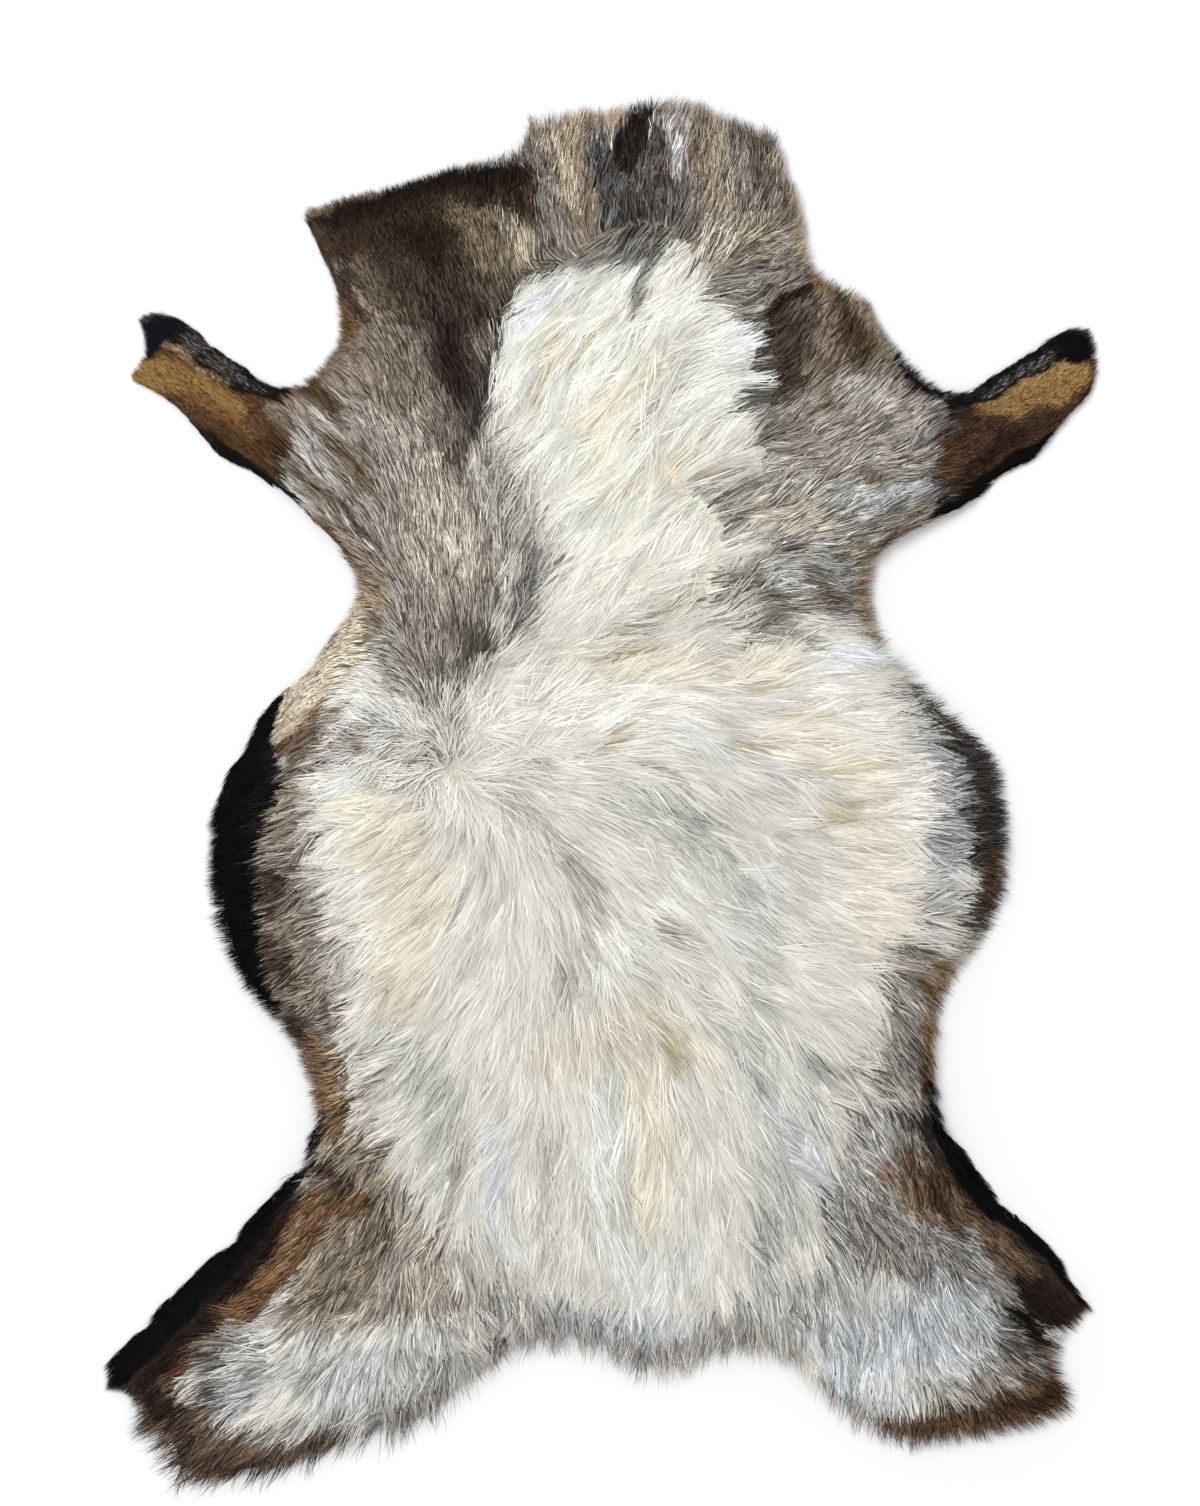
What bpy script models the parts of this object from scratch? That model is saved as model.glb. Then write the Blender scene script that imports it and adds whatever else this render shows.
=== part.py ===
# Lambskin: one tanned pelt with its own wool, lying flat on a surface, wool side up.
# +Z is up, +Y runs from the tail towards the neck and +X to the pelt's right as it is seen from above.
# The tables are in millimetres, measured from the middle of the pelt. The solid is in metres.
# It is one closed body: a flat underside of leather, a lumpy slab of wool over it and pointed locks
# of wool round its rim.

import math
import random

import bpy
import numpy as np
from mathutils import Vector
from mathutils.geometry import delaunay_2d_cdt

MM = 0.001

# Sizes of the pelt
SKIN_THICKNESS = 1.8          # leather, without its wool
WOOL_OVERHANG = 4.0           # how far the wool stands out past the leather's cut edge
RIM_SHARE = 0.34              # height of the wool at the rim, as a share of the pile's height
RIM_LOWEST, RIM_HIGHEST = 4.5, 13.0
PILE_FALLOFF = 24.0           # distance from the rim in which the wool rises to its full height

# How finely the surfaces are divided
CURVE_STEP = 2.0
TOP_SPACING = 14.5
TOP_CLEARANCE = 8.0           # how near the rim a point of the top may stand
INSET_STEPS = 8               # steps in which a ring is drawn in
CORNER_EASING = 0.08          # how far each step pulls a point between its neighbours
CORNER_HOLD = 8               # how much less a corner is drawn in than a straight stretch

# Locks round the rim
LOCK_COUNT = 240
LOCK_ROOT_SHARE = 0.66        # share of the rim that the roots take, the rest is gaps
LOCK_ROOT_INSET = 0.7         # how far inside the outline a root stands, as a share of its lock's length
LOCK_UNEVEN = 0.3             # how much longer or shorter than the rest a lock may be
LOCK_LEAN = 0.45              # how much a lock turns to lie with the wool
LOCK_MIDDLE_SHARE = 0.55      # where along its length a lock has its middle ring
LOCK_MIDDLE_SCALE = 0.60      # size of that ring against the root
LOCK_ARCH = 0.12              # how far the middle ring rises over a straight lock, as a share of its root
LOCK_TIP_HEIGHT = 1.2         # height of a lock's tip over the surface that the pelt lies on
LOCK_TIP_GAP = 5.0            # neighbouring tips that come nearer than this are shortened
SHORTENING, SHORTENING_ROUNDS = 0.75, 8

# Tufts: long soft ridges that lie with the wool
TUFT_SPACING, TUFT_STRAY = 40.0, 10.0
TUFT_LENGTH, TUFT_WIDTH = 34.0, 12.0
TUFT_SHARE = 0.15             # height of a tuft, as a share of the pile's height there
TUFT_LEAST, TUFT_MOST = 0.5, 1.3

# The outline, clockwise from the corner left of the neck. Each stretch is one smooth curve through its
# points, and the last point of a stretch is the first of the next, where the edge has a corner.
OUTLINE = (
    ("top of the neck", ((-55, 505), (-23, 514), (9, 515), (46, 523), (75, 518), (105, 507), (136, 496))),
    ("right of the neck", ((136, 496), (141, 474), (152, 443), (156, 398))),
    ("right shoulder", ((156, 398), (187, 383), (202, 374), (213, 350), (225, 336))),
    ("right foreleg, upper edge", ((225, 336), (244, 315), (266, 306), (300, 321), (330, 341), (357, 355))),
    ("right foreleg, end", ((357, 355), (368, 345), (373, 322), (369, 302))),
    ("right foreleg, lower edge", ((369, 302), (342, 274), (329, 256), (297, 239), (273, 215), (240, 199),
                                   (207, 180))),
    ("right flank", ((207, 180), (204, 152), (212, 125), (240, 92), (286, 41), (303, -4), (303, -60),
                     (289, -103), (262, -142), (256, -190), (257, -229))),
    ("right hind leg, outer edge", ((257, -229), (283, -274), (303, -302), (327, -326), (350, -353),
                                    (369, -378))),
    ("right hind leg, end", ((369, -378), (356, -397), (339, -402))),
    ("right haunch", ((339, -402), (341, -415), (355, -438), (352, -458), (330, -471), (290, -478),
                      (257, -483), (222, -484), (193, -472), (168, -454), (136, -424))),
    ("tail edge", ((136, -424), (104, -413), (78, -423), (51, -432), (27, -431), (3, -415), (-28, -408),
                   (-54, -413), (-81, -429))),
    ("left haunch", ((-81, -429), (-112, -454), (-148, -477), (-185, -487), (-228, -505), (-272, -516),
                     (-302, -517), (-322, -507), (-330, -482))),
    ("left hind leg, end", ((-330, -482), (-346, -472), (-347, -457), (-371, -441))),
    ("left hind leg, outer edge", ((-371, -441), (-370, -422), (-354, -406), (-292, -346), (-234, -280),
                                   (-219, -250), (-220, -226))),
    ("left flank", ((-220, -226), (-232, -182), (-262, -148), (-284, -103), (-290, -40), (-282, 13),
                    (-258, 55), (-225, 96), (-191, 137), (-182, 158))),
    ("left foreleg, lower edge", ((-182, 158), (-197, 186), (-226, 214), (-256, 240), (-290, 259),
                                  (-320, 293), (-354, 313))),
    ("left foreleg, end", ((-354, 313), (-342, 328), (-343, 357), (-330, 364))),
    ("left foreleg, upper edge", ((-330, 364), (-311, 357), (-283, 335), (-246, 313), (-226, 310),
                                  (-205, 328), (-193, 347))),
    ("left of the neck", ((-193, 347), (-200, 382), (-209, 410), (-223, 437))),
    ("left cheek, upper edge", ((-223, 437), (-204, 447), (-159, 457), (-106, 473), (-59, 482))),
    ("step to the neck", ((-59, 482), (-59, 493), (-55, 505))),
)

# Height of the pile over the surface, and length of the locks at the rim: place, how far round it
# they reach, height and length.
PILE = (
    # name                    x     y  reach height length
    ("neck",                 40,  470,   62,   17,    8),
    ("left cheek",         -150,  405,   70,   14,    6),
    ("blaze",                20,  270,   90,   36,   10),
    ("left shoulder",      -130,  235,   80,   22,    8),
    ("right shoulder",      165,  260,   75,   21,    8),
    ("waist",                10,  140,   95,   34,   10),
    ("saddle",               60,   10,  120,   43,   14),
    ("left flank",         -165,  -40,   85,   38,   10),
    ("right flank",         215,  -20,   85,   36,   11),
    ("back",                 20, -170,  130,   45,   16),
    ("rump",                 20, -330,  120,   42,   19),
    ("left haunch",        -200, -440,   90,   33,   20),
    ("right haunch",        215, -415,   85,   33,   17),
    ("left foreleg",       -295,  308,   48,    8,    5),
    ("right foreleg",       322,  295,   48,    8,    5),
    ("left hind leg",      -305, -375,   44,    8,    5),
    ("right hind leg",      322, -340,   38,    8,    5),
    ("left belly edge",    -276,  -30,   26,    9,    9),
    ("left belly corner",  -225,   90,   28,   10,    7),
)

# Which way the wool lies: the heading of its tips in degrees, anticlockwise from +X.
LAY = (
    # name                    x     y  reach heading
    ("neck",                 40,  470,   70,   92),
    ("left cheek",         -130,  410,   80,   96),
    ("left of the neck",   -195,  365,   35,  170),
    ("blaze, upper",         30,  330,   60,  222),
    ("blaze, lower",         10,  200,   70,  228),
    ("left shoulder",      -190,  250,   60,  140),
    ("left foreleg",       -290,  310,   60,  150),
    ("left waist",         -110,  170,   60,   95),
    ("right shoulder",      170,  300,   60,   45),
    ("right armpit",        200,  215,   60,   12),
    ("right foreleg",       310,  300,   60,   30),
    ("right waist",         120,  130,   50,    8),
    ("saddle",              120,   50,   80,   -2),
    ("right flank",         240,  -20,   80,   -2),
    ("right hip",           170, -170,   80,  -36),
    ("whorl, left",        -200,  -20,   70,  182),
    ("left hip",           -160, -190,   70,  222),
    ("left side",          -225, -180,   40,  203),
    ("back",                 20, -150,   80,  -68),
    ("rump",                 20, -330,  100,  -90),
    ("right thigh",         180, -310,   70,  -62),
    ("left thigh",         -160, -350,   70,  240),
    ("right haunch",        230, -430,   60,  -72),
    ("left haunch",        -230, -450,   60,  228),
    ("left hind leg",      -310, -390,   50,  222),
    ("right hind leg",      320, -330,   50,  -48),
)

WOOL_COLOUR = (0.72, 0.69, 0.62, 1.0)
WOOL_ROUGHNESS = 0.9
TUFT_SEED, LOCK_SEED = 11, 12
FAR_SHARE = 1e-4              # what a table's row still counts far outside its reach


def clear_scene():
    for obj in list(bpy.data.objects):
        bpy.data.objects.remove(obj, do_unlink=True)


def through(points, step):
    """A smooth curve through the points (a Catmull-Rom spline), without its last point."""
    points = [Vector(p) for p in points]
    before = points[0] * 2 - points[1]
    after = points[-1] * 2 - points[-2]
    chain = [before, *points, after]
    curve = []
    for a, b, c, d in zip(chain, chain[1:], chain[2:], chain[3:]):
        count = max(2, round((c - b).length / step))
        for i in range(count):
            t = i / count
            curve.append(
                0.5
                * (
                    2 * b
                    + (c - a) * t
                    + (2 * a - 5 * b + 4 * c - d) * t**2
                    + (3 * b - a - 3 * c + d) * t**3
                )
            )
    return curve


def fine_outline():
    """The pelt's outline as a closed line with a point every CURVE_STEP."""
    line = []
    for _, points in OUTLINE:
        line.extend(through(points, CURVE_STEP))
    return np.array([(p.x, p.y) for p in line])


def at_lengths(line, lengths):
    """Points on the closed line, at these distances along it."""
    closed = np.vstack([line, line[:1]])
    reached = np.concatenate([[0.0], np.cumsum(np.linalg.norm(np.diff(closed, axis=0), axis=1))])
    return np.stack([np.interp(lengths, reached, closed[:, i]) for i in (0, 1)], axis=1)


def rim_points(line):
    """Two points for each lock: where its root begins and where it ends."""
    around = np.linalg.norm(line - np.roll(line, -1, axis=0), axis=1).sum()
    pitch = around / LOCK_COUNT
    starts = np.arange(LOCK_COUNT) * pitch
    lengths = np.stack([starts, starts + LOCK_ROOT_SHARE * pitch], axis=1).ravel()
    edge = at_lengths(line, lengths)
    return moved_in(edge, LOCK_ROOT_INSET * lock_length(edge))


def outward(ring):
    """The direction out of the pelt at each point of a clockwise ring."""
    along = np.roll(ring, -1, axis=0) - np.roll(ring, 1, axis=0)
    along /= np.linalg.norm(along, axis=1)[:, None]
    return np.stack([-along[:, 1], along[:, 0]], axis=1)


def moved_in(ring, distance):
    """The ring drawn in by this distance, and by less at its corners, so that it doesn't fold over."""
    for _ in range(INSET_STEPS):
        behind, ahead = np.roll(ring, 1, axis=0), np.roll(ring, -1, axis=0)
        around = np.linalg.norm(ring - behind, axis=1) + np.linalg.norm(ahead - ring, axis=1)
        straight = np.linalg.norm(ahead - behind, axis=1) / around
        step = distance / INSET_STEPS * straight**CORNER_HOLD
        ring = ring - outward(ring) * step[:, None] + CORNER_EASING * ((behind + ahead) / 2 - ring)
    return ring


def from_rim(points, line):
    """Each point's distance from the outline."""
    return np.array([np.linalg.norm(line - p, axis=1).min() for p in points])


def inside(points, line):
    """Whether each point lies inside the outline."""
    ahead = np.roll(line, -1, axis=0)
    found = []
    for x, y in points:
        crosses = (line[:, 1] > y) != (ahead[:, 1] > y)
        rise = np.where(crosses, ahead[:, 1] - line[:, 1], 1.0)
        meets = line[:, 0] + (y - line[:, 1]) / rise * (ahead[:, 0] - line[:, 0])
        found.append((crosses & (x < meets)).sum() % 2 == 1)
    return np.array(found)


def weights(points, table):
    """How much each row of a table counts at each point."""
    places = np.array([row[1:3] for row in table], float)
    reach = np.array([row[3] for row in table], float)
    away = np.linalg.norm(points[:, None] - places[None], axis=2) / reach
    return np.exp(-(away**2) / 2) + FAR_SHARE / (1 + away**4)


def blended(points, table, column):
    """The value of a table's column at each point."""
    share = weights(points, table)
    return share @ np.array([row[column] for row in table], float) / share.sum(axis=1)


def pile_height(points):
    return blended(points, PILE, 4)


def lock_length(points):
    return blended(points, PILE, 5)


def lay_of(points):
    """The direction in which the wool's tips point, as unit vectors."""
    share = weights(points, LAY)
    headings = np.radians([row[4] for row in LAY])
    towards = share @ np.stack([np.cos(headings), np.sin(headings)], axis=1)
    return towards / np.linalg.norm(towards, axis=1)[:, None]


def rim_height(points):
    return np.clip(RIM_SHARE * pile_height(points), RIM_LOWEST, RIM_HIGHEST)


def hex_grid(line, spacing, clearance):
    """Points of a triangular grid inside the outline, at least clearance from it."""
    low, high = line.min(axis=0), line.max(axis=0)
    rows = np.arange(low[1], high[1], spacing * math.sqrt(0.75))
    points = []
    for i, y in enumerate(rows):
        for x in np.arange(low[0] + (i % 2) * spacing / 2, high[0], spacing):
            points.append((x, y))
    points = np.array(points)
    points = points[inside(points, line)]
    return points[from_rim(points, line) > clearance]


def tufts(points, line):
    """The height that the tufts add at each point."""
    chance = random.Random(TUFT_SEED)
    centres = hex_grid(line, TUFT_SPACING, TUFT_WIDTH)
    centres = centres + [[chance.uniform(-TUFT_STRAY, TUFT_STRAY) for _ in "xy"] for _ in centres]
    along = lay_of(centres)
    raised = TUFT_SHARE * pile_height(centres)
    added = np.zeros(len(points))
    for centre, lay, height in zip(centres, along, raised):
        off = points - centre
        down = off @ lay / TUFT_LENGTH
        side = off @ (-lay[1], lay[0]) / TUFT_WIDTH
        added += height * chance.uniform(TUFT_LEAST, TUFT_MOST) * np.exp(-(down**2) - side**2)
    return added


def top_height(points, line):
    """Height of the wool over the surface that the pelt lies on."""
    away = from_rim(points, line)
    rim = rim_height(points)
    rises = 1 - np.exp(-away / PILE_FALLOFF)
    return rim + (pile_height(points) - rim) * rises + tufts(points, line) * rises


def triangles_over(points, rim_count=None):
    """Triangles that fill the ring of the first rim_count points and use the points inside it."""
    rim_count = rim_count or len(points)
    points = [Vector(p) for p in points]
    _, _, faces, origins, _, _ = delaunay_2d_cdt(points, [], [list(range(rim_count))], 1, 1e-7)
    numbers = [origin[0] for origin in origins]
    return [[numbers[corner] for corner in face] for face in faces]


def lock_tips(ring):
    """The tips of the locks in plan. Tips that would crowd in a hollow of the outline are drawn back."""
    roots = (ring[0::2] + ring[1::2]) / 2
    chance = random.Random(LOCK_SEED)
    length = lock_length(roots) * [1 + chance.uniform(-LOCK_UNEVEN, LOCK_UNEVEN) for _ in roots]
    towards = outward(ring).reshape(-1, 2, 2).mean(axis=1) + LOCK_LEAN * lay_of(roots)
    towards /= np.linalg.norm(towards, axis=1)[:, None]
    for _ in range(SHORTENING_ROUNDS):
        tips = roots + towards * length[:, None]
        near = np.linalg.norm(tips - np.roll(tips, -1, axis=0), axis=1) < LOCK_TIP_GAP
        length[near | np.roll(near, 1)] *= SHORTENING
    return roots + towards * length[:, None]


def with_height(points, heights):
    return [Vector((x, y, z)) * MM for (x, y), z in zip(points, heights)]


def add_lock(verts, faces, root, tip):
    """A pointed lock on the four corners of its root, with one ring of corners halfway along it."""
    middle = sum((verts[n] for n in root), Vector()) / len(root)
    halfway = middle.lerp(tip, LOCK_MIDDLE_SHARE)
    halfway.z += LOCK_ARCH * middle.z
    ring = []
    for n in root:
        ring.append(len(verts))
        verts.append(halfway + (verts[n] - middle) * LOCK_MIDDLE_SCALE)
    point = len(verts)
    verts.append(tip)
    for j in range(len(root)):
        k = (j + 1) % len(root)
        faces.append([root[j], root[k], ring[k], ring[j]])
        faces.append([ring[j], ring[k], point])


def pelt_mesh():
    """The pelt as vertices and faces: underside, top, cut edge and the locks along it."""
    line = fine_outline()
    rim = rim_points(line)
    count = len(rim)
    flat = np.zeros(count)
    leather = moved_in(rim, flat + WOOL_OVERHANG)
    inner = hex_grid(rim, TOP_SPACING, TOP_CLEARANCE)
    verts = [
        *with_height(leather, flat),
        *with_height(leather, flat + SKIN_THICKNESS),
        *with_height(rim, rim_height(rim)),
        *with_height(inner, top_height(inner, rim)),
    ]
    under, edge, top = 0, count, 2 * count

    faces = []
    for face in triangles_over(leather):
        faces.append([under + n for n in reversed(face)])
    for face in triangles_over(np.vstack([rim, inner]), count):
        faces.append([top + n for n in face])

    tips = with_height(lock_tips(rim), [LOCK_TIP_HEIGHT] * count)
    for i in range(count):
        ahead = (i + 1) % count
        faces.append([under + i, edge + i, edge + ahead, under + ahead])
        side = [edge + i, top + i, top + ahead, edge + ahead]
        if i % 2 == 0:
            add_lock(verts, faces, side, tips[i // 2])
        else:
            faces.append(side)
    return verts, faces


def centred(verts):
    """The vertices moved so that the middle of their box is over the origin."""
    across = [v.x for v in verts]
    along = [v.y for v in verts]
    middle = Vector((min(across) + max(across), min(along) + max(along), 0)) / 2
    return [v - middle for v in verts]


def wool_material():
    material = bpy.data.materials.new("wool")
    material.use_nodes = True
    shader = material.node_tree.nodes["Principled BSDF"]
    shader.inputs["Base Color"].default_value = WOOL_COLOUR
    shader.inputs["Roughness"].default_value = WOOL_ROUGHNESS
    shader.inputs["Metallic"].default_value = 0.0
    return material


def build_lambskin():
    verts, faces = pelt_mesh()
    mesh = bpy.data.meshes.new("lambskin")
    mesh.from_pydata(centred(verts), [], faces)
    mesh.validate()
    mesh.shade_smooth()
    mesh.materials.append(wool_material())
    lambskin = bpy.data.objects.new("lambskin", mesh)
    bpy.context.scene.collection.objects.link(lambskin)
    return lambskin


clear_scene()
build_lambskin()
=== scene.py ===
import math

import bmesh
import bpy
import numpy as np
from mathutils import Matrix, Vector, kdtree
from mathutils.bvhtree import BVHTree


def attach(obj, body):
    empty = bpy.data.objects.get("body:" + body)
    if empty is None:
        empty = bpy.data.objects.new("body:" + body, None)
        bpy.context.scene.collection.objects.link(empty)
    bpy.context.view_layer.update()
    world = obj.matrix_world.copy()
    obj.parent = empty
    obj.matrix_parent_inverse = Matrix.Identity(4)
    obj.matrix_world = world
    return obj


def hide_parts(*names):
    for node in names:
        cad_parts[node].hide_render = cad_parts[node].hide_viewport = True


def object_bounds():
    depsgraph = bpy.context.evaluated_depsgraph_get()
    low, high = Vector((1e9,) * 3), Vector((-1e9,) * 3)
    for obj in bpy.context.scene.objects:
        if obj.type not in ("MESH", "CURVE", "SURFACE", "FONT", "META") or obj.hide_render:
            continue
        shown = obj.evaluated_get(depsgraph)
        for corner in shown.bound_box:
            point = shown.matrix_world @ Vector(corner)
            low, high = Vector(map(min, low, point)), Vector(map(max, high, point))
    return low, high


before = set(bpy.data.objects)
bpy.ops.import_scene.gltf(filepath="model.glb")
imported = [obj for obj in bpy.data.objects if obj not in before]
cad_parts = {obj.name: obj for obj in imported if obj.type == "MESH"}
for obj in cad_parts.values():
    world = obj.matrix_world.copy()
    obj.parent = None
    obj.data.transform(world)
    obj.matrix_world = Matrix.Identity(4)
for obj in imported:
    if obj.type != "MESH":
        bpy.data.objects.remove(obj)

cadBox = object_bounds()
print("frame loaded")

# places in the tables are pixels of the photograph; one function puts them in the frame
photo = {
    "width": 1200,
    "height": 1506,
    "mmPerPixel": 0.75,
    "frameOrigin": (597.35, 800.45),     # the pixel that shows the frame's origin
}


def linear(hexColour):
    channels = [int(hexColour[i : i + 2], 16) / 255 for i in (1, 3, 5)]
    return [c / 12.92 if c <= 0.04045 else ((c + 0.055) / 1.055) ** 2.4 for c in channels]


def toFrame(pixels):
    pixels = np.asarray(pixels, float)
    metres = (pixels - photo["frameOrigin"]) * photo["mmPerPixel"] / 1000
    metres[..., 1] *= -1
    return metres


def toPixels(metres):
    flipped = np.asarray(metres, float) * (1, -1)
    return flipped * 1000 / photo["mmPerPixel"] + photo["frameOrigin"]


# which way the tips of the wool point, in degrees anticlockwise from the photograph's right
lay = (
    # across, down, reach, heading
    # neck
    (545, 180, 30, 95), (600, 170, 30, 88), (660, 150, 30, 78), (720, 180, 30, 98), (780, 180, 30, 80),
    # neck, lower
    (720, 240, 26, 55), (780, 255, 24, 25), (560, 240, 26, 100),
    # cheek
    (330, 220, 30, 118), (400, 210, 34, 105), (480, 200, 34, 98), (345, 280, 26, 135), (400, 280, 34, 116),
    (470, 280, 34, 100),
    # ginger rim
    (335, 335, 20, 172), (310, 380, 20, 150),
    # behind the cheek
    (430, 340, 34, 105), (480, 370, 26, 98),
    # blaze
    (560, 295, 26, 222), (620, 275, 24, 235), (525, 350, 24, 240), (600, 340, 34, 230), (510, 420, 20, 248),
    (570, 410, 34, 232), (640, 400, 26, 219), (600, 480, 34, 224), (545, 500, 26, 238), (580, 570, 34, 232),
    (660, 540, 34, 222), (660, 610, 30, 216),
    # blaze, top right
    (680, 280, 26, 224), (735, 290, 20, -12),
    # blaze, right
    (688, 335, 24, 36), (690, 400, 26, 34), (700, 455, 24, 34), (740, 340, 22, -6), (755, 375, 22, 8),
    (745, 420, 22, 20), (725, 470, 24, 28),
    # right neck
    (790, 340, 26, 62), (840, 320, 30, 58), (840, 385, 30, 48),
    # right shoulder
    (800, 440, 30, 30), (860, 440, 32, 34), (900, 410, 26, 38), (790, 500, 30, 26), (880, 490, 30, 22),
    (930, 480, 26, 24),
    # right foreleg
    (990, 430, 34, 28), (1060, 370, 34, 32),
    # armpit
    (850, 540, 24, 8),
    # right waist
    (740, 580, 24, 40), (800, 590, 26, -4), (870, 590, 18, 8), (770, 630, 16, 220),
    # left shoulder
    (400, 420, 34, 112), (350, 410, 26, 142), (320, 460, 30, 141), (450, 450, 30, 96), (350, 520, 28, 138),
    (430, 530, 34, 94), (500, 550, 28, 84), (390, 590, 26, 125), (460, 620, 30, 90), (510, 610, 22, 72),
    # left foreleg
    (250, 430, 34, 140), (170, 360, 34, 146),
    # left waist
    (365, 590, 18, 196), (340, 640, 22, 226), (300, 710, 26, 218), (360, 650, 18, 168),
    # belly band
    (240, 760, 24, 232), (222, 850, 26, 205), (240, 950, 24, 205), (270, 1010, 20, 200),
    # whorl
    (400, 700, 20, 150), (360, 715, 22, 174), (440, 690, 16, 88), (480, 700, 22, 48), (345, 770, 24, 196),
    (400, 770, 18, 205), (425, 800, 18, 240), (455, 800, 18, 272), (480, 780, 16, 320), (466, 738, 20, 78),
    (496, 742, 20, 46), (426, 742, 18, 168), (520, 700, 24, 20), (520, 760, 22, 0), (500, 820, 24, -62),
    # saddle
    (535, 650, 22, 36), (600, 655, 26, 14), (600, 720, 24, 30), (680, 660, 30, 4), (660, 720, 26, -10),
    (700, 750, 26, -34), (610, 780, 30, -14), (560, 830, 28, -44), (660, 830, 30, -40), (750, 690, 34, 0),
    (830, 700, 34, 0),
    # right flank
    (900, 700, 28, 6), (945, 690, 16, 20), (770, 780, 34, -18), (850, 770, 36, -5), (930, 780, 30, -2),
    (985, 790, 22, 4), (760, 860, 34, -30), (850, 860, 36, -15), (940, 860, 30, -10), (990, 880, 20, -14),
    # left flank
    (290, 800, 24, 190), (350, 850, 30, 196), (420, 850, 28, 222), (470, 860, 24, 262), (290, 880, 24, 200),
    (290, 960, 26, 206), (360, 930, 30, 212), (430, 930, 30, 232), (500, 930, 30, 256),
    (320, 1010, 24, 208), (390, 1010, 30, 219), (460, 1020, 30, 242),
    # ginger waist
    (305, 1050, 18, 168), (320, 1090, 18, 200), (330, 1130, 20, 226),
    # back
    (560, 920, 30, -72), (610, 890, 28, -52), (660, 940, 30, -48), (720, 930, 30, -38),
    (560, 1000, 30, -84), (630, 1010, 30, -60), (700, 1010, 30, -52), (780, 960, 32, -30),
    (860, 940, 28, -14), (780, 1030, 32, -44), (850, 1010, 26, -30), (500, 1040, 30, 258),
    (560, 1090, 32, -92), (640, 1090, 32, -80), (720, 1100, 32, -68),
    # right hip
    (800, 1100, 30, -56), (860, 1080, 26, -46), (900, 1020, 22, -52), (940, 1020, 16, -58),
    (910, 1090, 24, -54),
    # left hip
    (400, 1090, 28, 216), (460, 1100, 28, 240), (350, 1170, 28, 224), (410, 1170, 28, 244),
    # rump
    (490, 1160, 30, 262), (570, 1170, 34, 268), (650, 1180, 34, -88), (730, 1180, 34, -76),
    (800, 1180, 30, -62), (500, 1260, 30, 272), (580, 1280, 34, 268), (660, 1290, 34, 266),
    (740, 1280, 34, -84), (800, 1270, 28, -70),
    # tail
    (560, 1335, 20, 264), (650, 1355, 22, 268), (740, 1335, 20, -86),
    # left thigh
    (300, 1210, 24, 221), (350, 1250, 26, 234), (410, 1250, 28, 256), (280, 1280, 24, 216),
    (350, 1310, 24, 226), (430, 1310, 28, 264),
    # left hind leg
    (200, 1290, 30, 224), (140, 1370, 30, 222),
    # left haunch
    (250, 1335, 22, 190), (220, 1385, 24, 206), (290, 1370, 24, 226), (350, 1380, 26, 240),
    (410, 1370, 24, 262), (460, 1360, 24, 282), (180, 1440, 24, 226), (250, 1450, 26, 234),
    (330, 1450, 26, 250), (410, 1430, 24, 268), (480, 1370, 20, 262),
    # right thigh
    (860, 1150, 24, -52), (920, 1150, 22, -62), (930, 1195, 18, -84), (870, 1205, 18, -28),
    (930, 1240, 16, -50), (975, 1225, 20, -34), (1010, 1275, 22, -38),
    # right hind leg
    (960, 1140, 22, -50), (1010, 1210, 26, -48), (1070, 1280, 26, -46),
    # right haunch
    (840, 1250, 24, -64), (900, 1290, 24, -84), (955, 1290, 20, -58), (990, 1320, 22, -34),
    (850, 1340, 26, -80), (910, 1360, 26, -72), (965, 1360, 24, -44), (1040, 1370, 22, -28),
    (840, 1410, 24, -82), (910, 1420, 24, -84), (980, 1410, 22, -68), (1040, 1410, 20, -46),
    (800, 1360, 24, -84),
)

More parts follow.
